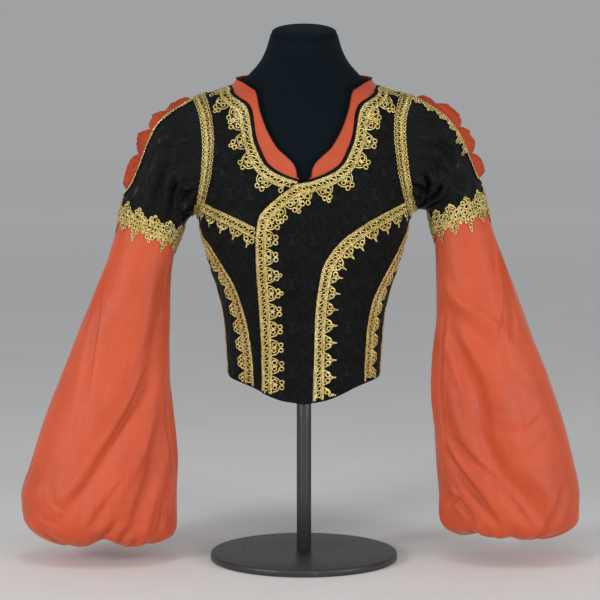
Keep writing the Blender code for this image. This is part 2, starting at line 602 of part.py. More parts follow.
for side, word, table, folds in ((1, "left", SLEEVE_LEFT, FOLDS_LEFT),
                                 (-1, "right", SLEEVE_RIGHT, FOLDS_RIGHT)):
    point, normal = sleeve_surface(table, folds, side)

    s = np.array([0, .10, .18, .30, .50, .72, .92, 1.0, UPPER_END])[:, None]
    half = slit(s)
    deg = half + ARM_STATIONS[None, :] * (360 - 2 * half) / 360
    sleeve_wall(word + "_upper_sleeve", point, normal, deg, s, WALL, "brocade")

    s = np.linspace(.19, .955, PUFFS * 3 + 1)[:, None]
    u = np.array([-1, -.45, .45, 1])[None, :]
    deg = u * np.maximum(slit(s) - 0.7, 0.2)
    k = (s - s[0]) / (s[-1] - s[0])
    rise = PUFF_LOW + (PUFF_RISE - PUFF_LOW) * np.abs(np.sin(np.pi * PUFFS * k))
    rise = rise * (1 - ease((k - .93) / .07)) * ease(k / .06)
    lift = -0.5 + rise * (1 - u**2)**0.7
    sleeve_wall(word + "_slit_puffs", point, normal, deg, s * np.ones_like(deg), SILK_WALL, "silk",
                lift=lift)

    s = np.array([.18, .30, .42, .54, .66, .78, .90, .98])[:, None]
    for way, edge in ((1, "front"), (-1, "back")):
        near = slit(s) + 0.3
        deg = way * np.concatenate([near, near + SLIT_BRAID * 0.68], 1)
        sleeve_wall("%s_slit_braid_%s" % (word, edge), point, normal, deg, s * np.ones_like(deg),
                    LACE_WALL, "gold", lift=(LACE_LIFT + LACE_WALL) * np.ones_like(deg))

    deg = np.linspace(0, 360, CUFF_COLS, endpoint=False)[None, :]
    even = (np.arange(CUFF_COLS) % 2)[None, :]
    s = np.concatenate([LACE_TOP + 0.012 + 0.02 * even, LACE_BOTTOM - 0.04 * even])
    sleeve_wall(word + "_cuff_lace", point, normal, deg * np.ones_like(s), s, LACE_WALL, "gold",
                True, (LACE_LIFT + LACE_WALL) * np.ones_like(s))

    s = np.array([LOWER_START, 1.24, 1.36, 1.54, 1.76, 2.00, 2.24, 2.46, 2.60, 2.71, 2.80,
                  2.88, MOUTH])[:, None]
    deg = np.linspace(0, 360, SLEEVE_COLS, endpoint=False)[None, :]
    sleeve_wall(word + "_lower_sleeve", point, normal, deg * np.ones_like(s), s * np.ones_like(deg),
                SILK_WALL, "silk", True)

    # double braid over the armhole seam, on the bodice on one side and the sleeve on the other
    deg = ARM_STATIONS[:-1]
    a = armhole(deg)
    t, z = walk(a[:, 0], a[:, 1], -toward_middle(deg) * BRAID_WIDTH / 2)
    flip = np.array([side, 1.0, 1.0])
    body = form_point(t, z) * flip
    body_n = form_normal(t, z) * flip
    seam_p = form_point(a[:, 0], a[:, 1]) * flip
    seam_n = form_normal(a[:, 0], a[:, 1]) * flip
    steps = np.linspace(0, .6, 61)
    run = point(deg[:, None] * np.ones((1, 61)), steps[None, :] * np.ones((len(deg), 1)))
    far = np.concatenate([np.zeros((len(deg), 1)),
                          np.cumsum(np.linalg.norm(np.diff(run, axis=1), axis=2), axis=1)], 1)
    s_out = np.array([np.interp(BRAID_WIDTH / 2, f, steps) for f in far])
    arm_p, arm_n = point(deg, s_out), normal(deg, s_out)
    corner = (seam_n + arm_n) / (1 + (seam_n * arm_n).sum(-1, keepdims=True)).clip(0.35)
    layers = []
    for lift in (LACE_LIFT + LACE_WALL, LACE_LIFT):
        layers.append(np.stack([body + body_n * (EASE + WALL + lift),
                                seam_p + seam_n * (EASE + WALL) + corner * lift,
                                arm_p + arm_n * lift]))
    wall(word + "_armhole_braid", layers[0], layers[1], "gold", True)


# ------------------------------------------------------------- bodice laces
def lace(name, rows, way, side=1, raised=None, keep=None, indent=0.0):
    """Scalloped lace on the bodice; way +1 has its scallops toward higher turns."""
    parts = 2 * max(2, round(length(rows) / LACE_PITCH))
    g = resample(rows, parts)
    p = form_point(g[:, 0], g[:, 1])
    along = unit(np.gradient(p, axis=0))
    across = np.cross(form_normal(g[:, 0], g[:, 1]), along) * way
    tip = np.where(np.arange(parts + 1) % 2 == 1, LACE_WIDTH, LACE_VALLEY)
    wide = tip.copy()
    if keep is not None:
        for k in range(parts + 1):
            for w in np.arange(tip[k], 2.0, -1.0):
                t, z = walk(g[k, 0], g[k, 1], across[k] * (w + indent))
                wide[k] = w
                if keep(t, z):
                    break
    out_t, out_z = [], []
    for w in (0 * wide, np.minimum(LACE_BRAID, wide * 0.6), wide):
        t, z = walk(g[:, 0], g[:, 1], across * (w + indent)[:, None])
        out_t.append(t)
        out_z.append(z)
    turn, height = np.stack(out_t, 1), np.stack(out_z, 1)
    rise = raised(turn, height) if raised else 0 * turn
    off = EASE + WALL + LACE_LIFT + rise
    wall(name, over_form(turn * side, height, off + LACE_WALL),
         over_form(turn * side, height, off), "gold")


ARM_RING = armhole(np.arange(0, 360, 3.0))
ARM_RING = form_point(ARM_RING[:, 0], ARM_RING[:, 1])
closing = through([z for _, z in CLOSURE[::-1]], [t for t, _ in CLOSURE[::-1]])


def off_armhole(turn, height):
    d = np.linalg.norm(ARM_RING - form_point(np.abs(turn), height), axis=1).min()
    return d > BRAID_WIDTH / 2 + 1.5


def off_closing(turn, height):
    """For places on the right, as positive turns: outside the left front's edge."""
    return off_armhole(turn, height) and -turn < closing(height) - 1.5


neck_rows = [(t, z) for t, z in NECK[:-1]]
lace("front_edge_lace", NECK_LACE + to_hem(CLOSURE), 1, 1, lap, off_armhole, 0.3)
lace("right_neck_lace", NECK_LACE, 1, -1, None, off_closing, 0.3)
for side, word, seam_line in ((1, "left", SIDE_LEFT), (-1, "right", SIDE_RIGHT)):
    lace(word + "_side_lace", to_hem([SIDE_LACE_TOP] + seam_line[1:]), 1, side, None,
         off_armhole, 0.3)
    lace(word + "_back_lace", to_hem([BACK_LACE_TOP] + BACK_SEAM[2:]), -1, side, None,
         off_armhole, 0.3)
lace("left_princess_lace", to_hem([PRINCESS_LACE_TOP] + PRINCESS[2:]), 1, 1, None, off_armhole, 0.3)
lace("right_princess_lace", [PRINCESS_LACE_TOP] + PRINCESS_RIGHT[2:4] + [PRINCESS_LACE_END], 1, -1,
     None, off_closing, 0.3)
half = [(t, z) for t, z in NECK_BACK_LACE]
lace("back_neck_lace", half + [(360 - t, z) for t, z in half[::-1][1:]], -1, 1, None,
     off_armhole, 0.3)
cord("collar_cord_left", COLLAR, 1)
cord("collar_cord_right", COLLAR, -1)

# ---------------------------------------------------------- form and stand
heights = np.array([FORM_BOTTOM, 368, 416, 460, 500, 540, 580, 620, 660, 700, 730, 755, 775,
                    787, 796, 808, 824, 846, 868, 893.0])
deg = np.linspace(0, 360, FORM_COLS, endpoint=False)
verts = over_form(deg[None, :] * np.ones((len(heights), 1)), heights[:, None],
                  -FORM_SLACK * np.ones((len(heights), FORM_COLS))).reshape(-1, 3)
faces = grid_faces(len(heights), FORM_COLS, 0, True)
for k, row in ((0, 0), (1, len(heights) - 1)):
    ring = list(range(row * FORM_COLS, (row + 1) * FORM_COLS))
    verts = np.concatenate([verts, verts[ring].mean(0, keepdims=True)])
    for a, b in zip(ring, ring[1:] + ring[:1]):
        faces.append((b, a, len(verts) - 1) if k == 0 else (a, b, len(verts) - 1))
make("form_torso", verts, faces, "slate")

# a domed cap closes the neck, tilted with it
wide, front, back, mid, _, lean = [c(893.0) for c in FORM_COLUMNS]
verts, faces = [], []
for scale, up in CAP:
    y = -np.cos(np.radians(deg)) * CAP_HALF * scale
    verts += np.stack([np.sin(np.radians(deg)) * CAP_HALF * scale, mid + y,
                       893.0 + up + lean * y], -1).tolist()
faces = grid_faces(len(CAP), FORM_COLS, 0, True)
for k, row in ((0, 0), (1, len(CAP) - 1)):
    ring = list(range(row * FORM_COLS, (row + 1) * FORM_COLS))
    verts.append(np.mean([verts[i] for i in ring], 0).tolist())
    for a, b in zip(ring, ring[1:] + ring[:1]):
        faces.append((b, a, len(verts) - 1) if k == 0 else (a, b, len(verts) - 1))
make("form_cap", verts, faces, "slate")

turned("stand_pole", [(POLE_RADIUS, BASE_HEIGHT + TOUCH), (POLE_RADIUS, FORM_BOTTOM - TOUCH)],
       "steel", 20)
e = BASE_EDGE
turned("stand_base", [(BASE_RADIUS - 1, 0), (BASE_RADIUS, 1), (BASE_RADIUS, BASE_HEIGHT - e),
                      (BASE_RADIUS - e * 0.3, BASE_HEIGHT - e * 0.3),
                      (BASE_RADIUS - e, BASE_HEIGHT)], "steel", 48)
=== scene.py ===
"""Doublet with slit upper sleeves and full lower sleeves, on its dress form.

The frame is in metres, +Z up, front toward -Y, the wearer's left at +X.
Sizes below are in millimetres and become metres when a mesh is made.  A place
on the form is named by its turn (degrees round the axis, 0 front, 90 the
wearer's left) and its height; a place on a sleeve by its degrees round it
(0 outer side, 90 front, 180 inner side) and s along it.
"""

import math

import bpy
import numpy as np
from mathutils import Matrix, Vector


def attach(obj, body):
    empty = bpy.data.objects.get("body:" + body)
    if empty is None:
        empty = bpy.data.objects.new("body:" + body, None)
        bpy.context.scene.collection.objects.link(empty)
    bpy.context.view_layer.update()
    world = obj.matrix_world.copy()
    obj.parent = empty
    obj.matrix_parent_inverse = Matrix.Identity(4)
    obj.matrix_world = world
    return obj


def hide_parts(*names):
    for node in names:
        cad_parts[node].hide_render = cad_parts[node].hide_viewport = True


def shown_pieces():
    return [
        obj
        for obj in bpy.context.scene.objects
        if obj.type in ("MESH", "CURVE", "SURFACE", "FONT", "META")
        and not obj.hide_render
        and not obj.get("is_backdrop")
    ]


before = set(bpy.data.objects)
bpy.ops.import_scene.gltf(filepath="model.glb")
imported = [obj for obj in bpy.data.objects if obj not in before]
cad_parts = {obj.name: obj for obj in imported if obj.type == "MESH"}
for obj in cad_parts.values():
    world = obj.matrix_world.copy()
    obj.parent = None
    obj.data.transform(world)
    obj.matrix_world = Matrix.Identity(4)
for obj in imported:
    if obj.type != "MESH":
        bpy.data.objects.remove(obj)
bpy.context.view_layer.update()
scene = bpy.context.scene

# ------------------------------------------------------------------ camera
DISTANCE, RISE, TARGET = 4.2, math.radians(6), Vector((-0.0068, 0.0, 0.445))
cam_data = bpy.data.cameras.new("camera")
cam_data.sensor_width = 36
cam_data.lens = 18 * DISTANCE / 0.51
cam_data.clip_end = 60
cam = bpy.data.objects.new("camera", cam_data)
cam.location = TARGET + Vector((0, -math.cos(RISE), math.sin(RISE))) * DISTANCE
cam.rotation_euler = (math.pi / 2 - RISE, 0, 0)
scene.collection.objects.link(cam)
scene.camera = cam

# ------------------------------------------------------------- sizes (mm)
EASE, FORM_SLACK, WALL, SILK_WALL, SEAM = 3.0, 1.5, 2.0, 1.6, 0.25
LACE_WIDTH, LACE_BAND, PITCH = 37.0, 18.0, 30.6
BRAID_WIDTH = 22.0
LAP_RISE, LAP_UNDER = 3.6, 11.0
BAND_STAND = 5.0
WIRE = 1.15              # half the width of the gimp cord that the laces are made of
BASE_RADIUS, BASE_HEIGHT, BASE_EDGE, POLE_RADIUS = 160.0, 12.0, 4.0, 12.5
FORM_BOTTOM, TOUCH = 338.0, 0.3
CAP_HALF = 54.5

FORM = np.array([
    # height, half_width, front, back, centre_y, squareness, lean
    (335, 124, 97, 88, 0, 2.30, 0),
    (368, 126, 98, 88, 0, 2.30, 0),
    (416, 130, 101, 92, 0, 2.30, 0),
    (460, 139, 107, 99, 0, 2.30, 0),
    (513, 157, 115, 108, 0, 2.35, 0),
    (564, 170, 121, 115, 2, 2.40, 0),
    (600, 177, 122, 119, 3, 2.40, 0),
    (645, 184, 119, 121, 4, 2.40, 0),
    (690, 188, 112, 119, 5, 2.35, 0),
    (730, 190, 102, 112, 6, 2.20, 0),
    (758, 189, 92, 102, 6, 2.05, 0),
    (776, 186, 84, 93, 5, 1.90, 0),
    (786, 177, 78, 86, 4, 1.80, 0),
    (793, 157, 73, 80, 3, 1.80, 0),
    (800, 131, 68, 74, 2, 1.85, .02),
    (812, 110, 63, 68, 0, 1.95, .05),
    (828, 94, 59, 63, -3, 2.00, .08),
    (850, 75, 57, 59, -9, 2.00, .12),
    (870, 65, 57, 57, -15, 2.00, .16),
    (893, 58, 56, 55, -20, 2.00, .21)], float)

# seam lines on the form: turn, height
NECK = [(88, 806), (78, 801), (67, 792), (58, 784), (51, 776), (46, 763), (42, 743),
        (38, 721), (33, 700), (28, 682), (20, 669), (12, 661), (4, 656)]
NECK_BACK = [(88, 806), (100, 806), (120, 809), (150, 812), (180, 813)]
COLLAR = [(88, 815), (72, 811), (59, 801), (50, 791), (45, 780), (39, 761), (33, 741),
          (27, 722), (21, 706), (14, 694), (8, 682), (5.5, 671), (4.5, 659)]
COLLAR_BACK = [(88, 815), (105, 817), (130, 820), (155, 824), (180, 825)]
CLOSURE = [(-4, 649), (-13, 638), (-21, 624), (-27, 611), (-32, 595), (-34.5, 562),
           (-36, 516), (-37, 470), (-38, 407), (-38, 352), (-38, 291)]
PRINCESS = [(72, 622), (60, 609), (51, 596), (39, 577), (28, 557), (20, 534), (14.5, 510),
            (12, 478), (10, 435), (9.5, 380), (9, 327), (8.5, 281)]
PRINCESS_RIGHT = [(72, 622), (56, 605), (47, 593), (37, 580), (29, 570), (23, 562)]
SIDE_LEFT = [(84.4, 596), (77, 568), (71, 540), (65, 509), (60, 474), (56.5, 437),
             (55.5, 400), (55, 350), (55, 312)]
SIDE_RIGHT = [(84.4, 596), (78, 566), (68, 541), (61, 512), (55, 478), (51.5, 437),
              (48.5, 400), (46.5, 357), (45, 305)]
BACK_SEAM = [(110, 630), (115, 600), (113, 560), (107, 510), (101, 460), (98, 420),
             (97, 380), (97, 320)]
UNDER_TOP = [(4, 656), (1, 645), (2, 636), (9, 622), (15, 607), (20, 590), (23, 562)]
UNDER_LOW = [(25, 540), (25, 500), (26, 450), (27, 380), (27, 291)]
NECK_LACE = [(88, 803), (78, 799), (68, 790), (60, 782), (53, 774), (48, 761), (44, 742),
             (40, 719), (35, 697), (29.5, 678), (20.5, 664), (12, 657), (5, 652)]
NECK_BACK_LACE = [(92, 803), (102, 802), (120, 804), (150, 807), (180, 808)]
PRINCESS_LACE_TOP, PRINCESS_LACE_END = (75, 623.5), (30, 571)
SIDE_LACE_TOP, BACK_LACE_TOP = (80, 577), (115, 612)
HEM = [(0, 280), (20, 286), (30, 292), (38, 298.5), (47, 306), (58, 312), (77, 317), (90, 320),
       (130, 319), (180, 318)]
ARM_MID, ARM_RISE, ARM_TURN = 692.0, 97.0, 25.0
ARM_FRONT, ARM_SIDE, ARM_BACK = 136.0, 170.0, 230.0
ARM_STEPS = [0, 9, 22, 40, 62, 87, 112, ARM_FRONT]
ARM_STEPS_BACK = [360, 351, 338, 320, 299, 276, 253, ARM_BACK]

SLEEVE_RIGHT = np.array([
    # s, outer_x, outer_z, inner_x, inner_z, half_depth, mid_y
    (0.00, 188, 790, 182, 594, 74, 0),
    (0.12, 205, 781, 187, 592, 77, 0),
    (0.25, 228, 767, 191, 588, 80, -1),
    (0.45, 254, 740, 195, 584, 80, -3),
    (0.65, 271, 700, 198, 580, 74, -4),
    (0.85, 289, 653, 200, 576, 64, -4),
    (1.00, 305, 620, 202, 573, 56, -4),
    (1.12, 311, 593, 210, 551, 54, -4),
    (1.24, 317, 566, 219, 528, 55, -4),
    (1.32, 325, 540, 223, 508, 59, -4),
    (1.45, 338, 500, 226, 480, 65, -4),
    (1.60, 361, 447, 228, 440, 72, -5),
    (1.85, 400, 350, 229, 350, 80, -6),
    (2.10, 437, 257, 227, 262, 86, -7),
    (2.35, 466, 168, 219, 170, 90, -8),
    (2.52, 483, 108, 217, 108, 92, -8),
    (2.62, 480, 73, 217, 66, 90, -8),
    (2.72, 457, 45, 225, 43, 82, -8),
    (2.80, 418, 30, 250, 32, 64, -6),
    (2.88, 385, 37, 285, 39, 48, -4),
    (3.00, 378, 74, 290, 76, 44, -4)], float)
SLEEVE_LEFT = np.array([
    (0.00, 188, 792, 182, 597, 74, 0),
    (0.12, 205, 786, 187, 598, 77, 0),
    (0.25, 229, 769, 190, 599, 80, -1),
    (0.45, 256, 742, 194, 600, 80, -3),
    (0.65, 274, 708, 199, 600, 74, -4),
    (0.85, 288, 670, 204, 599, 64, -4),
    (1.00, 300, 641, 209, 596, 56, -4),
    (1.12, 307, 613, 215, 571, 54, -4),
    (1.24, 314, 584, 221, 545, 55, -4),
    (1.32, 322, 558, 223, 522, 59, -4),
    (1.45, 336, 520, 224, 490, 65, -4),
    (1.60, 357, 468, 225, 445, 72, -5),
    (1.85, 391, 376, 224, 370, 80, -6),
    (2.10, 424, 293, 221, 290, 86, -7),
    (2.35, 453, 197, 224, 200, 90, -8),
    (2.52, 471, 110, 230, 122, 92, -8),
    (2.62, 471, 72, 235, 82, 89, -8),
    (2.72, 450, 50, 247, 62, 81, -8),
    (2.80, 412, 40, 272, 52, 64, -6),
    (2.88, 381, 48, 297, 57, 48, -4),
    (3.00, 375, 84, 300, 88, 44, -4)], float)
SLEEVE_SQUARE = 2.15
UPPER_END, LOWER_START, MOUTH = 1.115, 1.125, 3.0
LACE_TOP, LACE_BOTTOM = 1.00, 1.24
PUFF_LOW = 2.5
PUFFS_RIGHT = [
    # where along the slit each puff begins and ends, and how far it stands out
    (0.00, 0.19, 6), (0.17, 0.43, 10), (0.42, 0.68, 16), (0.66, 1.00, 14)]
PUFFS_LEFT = [(0.00, 0.14, 7), (0.11, 0.43, 15), (0.42, 0.73, 14), (0.72, 1.00, 14)]
# how much the bottom edge is lifted between its lobes: degrees, half width, mm
LOBES_RIGHT = [(88, 15, 14), (270, 17, 14), (140, 7, 4), (222, 7, 5), (48, 9, 3)]
LOBES_LEFT = [(166, 12, -8), (194, 12, -8), (84, 9, 4), (276, 9, 4), (128, 7, 6), (236, 8, 6), (48, 8, 4), (310, 8, 4)]
SLIT = [(0, .4), (.08, .4), (.13, 8), (.20, 15), (.30, 20), (.50, 24), (.72, 24), (.92, 18), (1.0, .4),
        (1.2, .4)]

# Creases of the sleeves: depth (a trough is positive, a ridge
# negative), how wide it is on either side, and the (degrees, s) it runs through.
CREASES_RIGHT = [
    # the wearer's right sleeve: a pressed pleat released near the outer side
    (7, 11, 3, [(8, 1.36), (36, 1.53), (50, 1.64), (60, 1.80), (70, 2.04)]),
    (-2.2, 3.5, 12, [(16, 1.36), (44, 1.54), (60, 1.68), (70, 1.84), (80, 2.06)]),
    # the long diagonal trough, steep above and shallow below
    (6, 15, 22, [(152, 1.40), (144, 1.60), (133, 1.84), (120, 2.04)]),
    (13, 6, 20, [(128, 1.90), (120, 2.00), (112, 2.08), (104, 2.16), (94, 2.26), (83, 2.42), (70, 2.54)]),
    (-4.5, 8, 10, [(140, 2.10), (124, 2.27), (108, 2.42), (96, 2.52)]),
    (6, 3.2, 9, [(112, 2.35), (101, 2.46), (92, 2.55), (84, 2.66)]),
    (8, 9, 15, [(144, 2.16), (134, 2.36), (123, 2.52), (115, 2.68)]),
    (-4, 5, 8, [(136, 2.46), (128, 2.60), (122, 2.74)]),
    (4, 3.5, 7, [(152, 2.44), (144, 2.58), (134, 2.74)]),
    # where the back of the sleeve shows past the front
    (14, 4.5, 4.5, [(155, 1.94), (158, 2.13), (160, 2.38), (155, 2.57)]),
    (-5, 12, 16, [(178, 2.00), (181, 2.20), (180, 2.42)]),
    # the pleats at the bottom edge
    (10, 4, 7, [(104, 2.58), (97, 2.66), (88, 2.74), (82, 2.86)]),
    (-4, 6, 6, [(86, 2.56), (82, 2.68), (76, 2.80)]),
    (8, 3.5, 6, [(112, 2.62), (104, 2.72), (101, 2.80)]),
    (6, 5, 4, [(122, 2.70), (112, 2.76), (103, 2.80)]),
    (6, 5, 6, [(152, 2.66), (144, 2.74), (138, 2.84)]),
    (4, 8, 8, [(44, 2.66), (47, 2.76), (48, 2.86)]),
    # small ones
    (2.0, 4, 7, [(52, 2.42), (60, 2.52), (74, 2.56)]),
    (1.8, 7, 5, [(36, 2.50), (50, 2.59), (66, 2.62)]),
    (1.6, 3.5, 4, [(100, 1.30), (95, 1.38), (92, 1.44)]),
    (2.5, 7, 7, [(160, 1.28), (163, 1.42), (160, 1.55)]),
    (1.6, 16, 16, [(92, 1.45), (88, 1.70), (80, 1.95), (66, 2.20)]),
    # the back, which the photograph doesn't show
    (9, 7, 20, [(222, 1.45), (236, 1.80), (250, 2.15), (262, 2.50), (268, 2.75)]),
    (9, 15, 10, [(296, 1.60), (286, 2.00), (280, 2.40), (284, 2.75)]),
    (5, 5, 12, [(318, 1.40), (314, 1.70), (318, 2.10)]),
    (6, 9, 6, [(240, 2.30), (232, 2.50), (228, 2.75)]),
    (-4, 10, 10, [(272, 1.75), (266, 2.10), (272, 2.45)]),
    (5, 5, 9, [(322, 2.35), (314, 2.55), (308, 2.78)])]
CREASES_LEFT = [
    # the wearer's left sleeve: a sharp ridge near the outer side
    (-5, 3, 4, [(25, 1.30), (43, 1.47), (57, 1.61), (70, 1.74)]),
    (7.5, 9, 3.5, [(15, 1.34), (34, 1.52), (52, 1.69), (62, 1.80)]),
    (4, 4, 6, [(60, 1.68), (72, 1.78), (79, 1.88)]),
    # ridge across from the inner side, with a hollow below it
    (-3.8, 8, 13, [(148, 1.46), (134, 1.54), (104, 1.63), (75, 1.74), (62, 1.82)]),
    (6.5, 13, 20, [(146, 1.60), (124, 1.69), (102, 1.79), (84, 1.90)]),
    (-2.5, 16, 14, [(128, 1.62), (112, 1.82), (98, 1.98), (90, 2.16), (84, 2.34)]),
    # the long trough
    (15, 18, 11, [(140, 1.74), (121, 1.91), (109, 2.06), (107, 2.19), (108, 2.29), (103, 2.38),
                 (97, 2.44), (85, 2.49), (70, 2.59)]),
    (-3.2, 12, 12, [(150, 1.95), (137, 2.12), (129, 2.26), (116, 2.36)]),
    (9, 5, 10, [(136, 2.31), (122, 2.37), (107, 2.43), (88, 2.54), (78, 2.64)]),
    (-4, 6, 6, [(148, 2.30), (132, 2.39), (116, 2.47), (102, 2.57)]),
    (9, 5, 10, [(148, 2.36), (132, 2.44), (116, 2.52), (102, 2.64)]),
    (-4, 6, 7, [(156, 2.42), (141, 2.52), (127, 2.62), (115, 2.74)]),
    # the bottom edge
    (10, 4, 7, [(153, 2.57), (146, 2.525), (137, 2.54), (128, 2.59), (123, 2.67)]),
    (5, 4, 7, [(92, 2.62), (88, 2.72), (84, 2.84)]),
    (6.5, 11, 5, [(42, 2.46), (52, 2.54), (62, 2.64), (68, 2.78)]),
    (5, 6, 5, [(36, 2.66), (42, 2.76), (44, 2.86)]),
    (5, 4, 7, [(112, 2.66), (108, 2.76), (106, 2.86)]),
    # wrinkles at the elbow, which run round the sleeve
    (1.5, 3.5, 7, [(96, 2.05), (80, 2.00), (62, 2.00), (48, 2.05)]),
    (-1.4, 5, 5, [(98, 2.19), (78, 2.22), (60, 2.20), (46, 2.14)]),
    (1.8, 3.5, 6, [(92, 2.26), (72, 2.27), (54, 2.20)]),
    (1.4, 4, 7, [(76, 2.37), (62, 2.32), (48, 2.29)]),
    (1.0, 4, 6, [(84, 1.94), (70, 1.90), (56, 1.92)]),
    # where the back of the sleeve shows past the front
    (14, 4, 4.5, [(149, 1.68), (152, 1.90), (152.5, 2.13), (150, 2.32)]),
    (-6, 12, 16, [(172, 1.74), (176, 2.00), (174, 2.26)]),
    (-9, 18, 20, [(160, 2.54), (166, 2.66), (166, 2.82)]),
    (2.2, 7, 7, [(158, 1.28), (160, 1.42)]),
    # the back
    (9, 7, 20, [(228, 1.45), (240, 1.80), (252, 2.15), (258, 2.50), (262, 2.75)]),
    (9, 15, 10, [(302, 1.55), (290, 1.95), (284, 2.35), (288, 2.75)]),
    (5, 5, 12, [(322, 1.45), (316, 1.75), (320, 2.15)]),
    (6, 9, 6, [(236, 2.30), (230, 2.50), (226, 2.75)]),
    (-4, 10, 10, [(276, 1.70), (270, 2.05), (276, 2.40)]),
    (5, 5, 9, [(326, 2.30), (316, 2.55), (312, 2.78)])]
UPPER_RIGHT = [
    # crumples under the arm
    (7, 5, 4, [(120, .06), (126, .22), (128, .40)]),
    (6, 4, 5, [(134, .10), (122, .24), (112, .34)]),
    (7, 5, 5, [(150, .12), (140, .34), (142, .56)]),
    (-4, 4, 4, [(128, .14), (134, .32), (136, .50)]),
    (5, 4, 4, [(112, .20), (106, .36), (108, .52)]),
    (6, 5, 5, [(158, .30), (150, .52), (152, .76)]),
    # long soft ones down to the lace
    (4, 6, 5, [(100, .30), (108, .52), (116, .74), (122, .96)]),
    (-3.5, 6, 6, [(90, .34), (96, .58), (102, .80), (106, .98)]),
    (4.5, 7, 5, [(82, .22), (80, .48), (86, .72), (92, .96)]),
    (-3, 7, 7, [(68, .28), (64, .55), (70, .82), (74, .98)]),
    (3.5, 7, 6, [(54, .34), (48, .60), (46, .84), (48, .98)]),
    (2.5, 6, 6, [(70, .10), (62, .26), (56, .42)]),
    (2.5, 8, 8, [(96, .06), (90, .18), (82, .30)]),
    # the back
    (6, 7, 6, [(232, .08), (226, .30), (222, .55)]),
    (5, 7, 7, [(252, .20), (246, .50), (240, .80)]),
    (-3, 7, 7, [(262, .25), (258, .55), (256, .85)]),
    (5, 8, 7, [(284, .20), (282, .52), (278, .92)]),
    (4, 7, 7, [(312, .30), (312, .60), (308, .92)])]
UPPER_LEFT = [
    (7, 5, 4, [(118, .10), (122, .26), (120, .42)]),
    (6, 4, 5, [(104, .22), (112, .36), (128, .44)]),
    (8, 5, 5, [(140, .08), (136, .28), (134, .50)]),
    (-4, 4, 4, [(128, .12), (126, .30), (128, .46)]),
    (6, 5, 5, [(156, .24), (146, .44), (134, .60)]),
    (6, 5, 5, [(132, .60), (116, .66), (100, .64)]),
    (-4, 5, 5, [(128, .70), (112, .76), (96, .74)]),
    (4, 5, 5, [(150, .74), (134, .82), (118, .86)]),
    (4, 6, 5, [(96, .16), (92, .36), (94, .54)]),
    (-4, 5, 6, [(84, .14), (78, .36), (80, .58), (88, .74)]),
    (4, 6, 5, [(72, .18), (66, .40), (68, .62)]),
    (-3.5, 5, 5, [(60, .24), (54, .44), (56, .64)]),
    (3.5, 6, 6, [(48, .30), (44, .52), (46, .74)]),
    (2.5, 7, 7, [(84, .72), (74, .84), (60, .92)]),
    (6, 7, 6, [(228, .10), (224, .32), (220, .56)]),
    (5, 7, 7, [(256, .20), (248, .50), (244, .80)]),
    (-3, 7, 7, [(266, .25), (260, .55), (258, .85)]),
    (5, 8, 7, [(288, .24), (284, .54), (280, .92)]),
    (4, 7, 7, [(316, .30), (314, .60), (310, .92)])]


# ----------------------------------------------------------- smooth tables
def through(x, y):
    """A smooth line through a table's rows, with no overshoot between them."""
    x, y = np.asarray(x, float), np.asarray(y, float)
    h = np.diff(x)
    d = np.diff(y) / h
    m = np.zeros(len(x))
    m[0], m[-1] = d[0], d[-1]
    for i in range(1, len(x) - 1):
        if d[i - 1] * d[i] > 0:
            w1, w2 = 2 * h[i] + h[i - 1], h[i] + 2 * h[i - 1]
            m[i] = (w1 + w2) / (w1 / d[i - 1] + w2 / d[i])

    def read(q):
        q = np.clip(np.asarray(q, float), x[0], x[-1])
        i = np.clip(np.searchsorted(x, q) - 1, 0, len(h) - 1)
        t = (q - x[i]) / h[i]
        return ((2 * t**3 - 3 * t**2 + 1) * y[i] + (t**3 - 2 * t**2 + t) * h[i] * m[i]
                + (3 * t**2 - 2 * t**3) * y[i + 1] + (t**3 - t**2) * h[i] * m[i + 1])
    return read


def ease(t):
    t = np.clip(t, 0, 1)
    return t * t * (3 - 2 * t)


def unit(v):
    return v / np.maximum(np.linalg.norm(v, axis=-1, keepdims=True), 1e-9)


def ripple(x, y, size, seed, count=7):
    """A soft uneven field, about -1 to 1, from waves of mixed lengths and directions."""
    rng = np.random.default_rng(seed)
    out = 0
    for _ in range(count):
        a, long, phase = rng.uniform(0, math.pi), size * rng.uniform(0.7, 1.9), rng.uniform(0, 6.28)
        out = out + np.sin(6.283 * (x * math.cos(a) + y * math.sin(a)) / long + phase)
    return out / math.sqrt(count)


FORM_COLUMNS = [through(FORM[:, 0], FORM[:, k]) for k in range(1, 7)]


def form_point(turn, height):
    turn, height = np.broadcast_arrays(np.asarray(turn, float), np.asarray(height, float))
    wide, front, back, mid, square, lean = [c(height) for c in FORM_COLUMNS]
    s, c = np.sin(np.radians(turn)), np.cos(np.radians(turn))
    deep = np.where(c > 0, front, back)
    reach = ((np.abs(s) / wide)**square + (np.abs(c) / deep)**square)**(-1 / square)
    extra = np.minimum(height - FORM[0, 0], 0)
    y = -reach * c
    return np.stack([reach * s, mid + y, np.maximum(height, FORM[0, 0]) + extra + lean * y], -1)


def form_normal(turn, height):
    du = form_point(turn + 0.6, height) - form_point(turn - 0.6, height)
    dv = form_point(turn, height + 0.6) - form_point(turn, height - 0.6)
    return unit(np.cross(du, dv))


def over_form(turn, height, off):
    return form_point(turn, height) + form_normal(turn, height) * np.asarray(off)[..., None]


def walk(turn, height, vec):
    """The place reached from (turn, height) by moving vec (mm) over the surface."""
    for _ in range(3):
        du = (form_point(turn + 0.5, height) - form_point(turn - 0.5, height))
        dv = (form_point(turn, height + 0.5) - form_point(turn, height - 0.5))
        uu, uv, vv = (du * du).sum(-1), (du * dv).sum(-1), (dv * dv).sum(-1)
        a, b = (du * vec).sum(-1) / 3, (dv * vec).sum(-1) / 3
        det = uu * vv - uv * uv
        turn, height = turn + (a * vv - b * uv) / det, height + (b * uu - a * uv) / det
    return turn, height


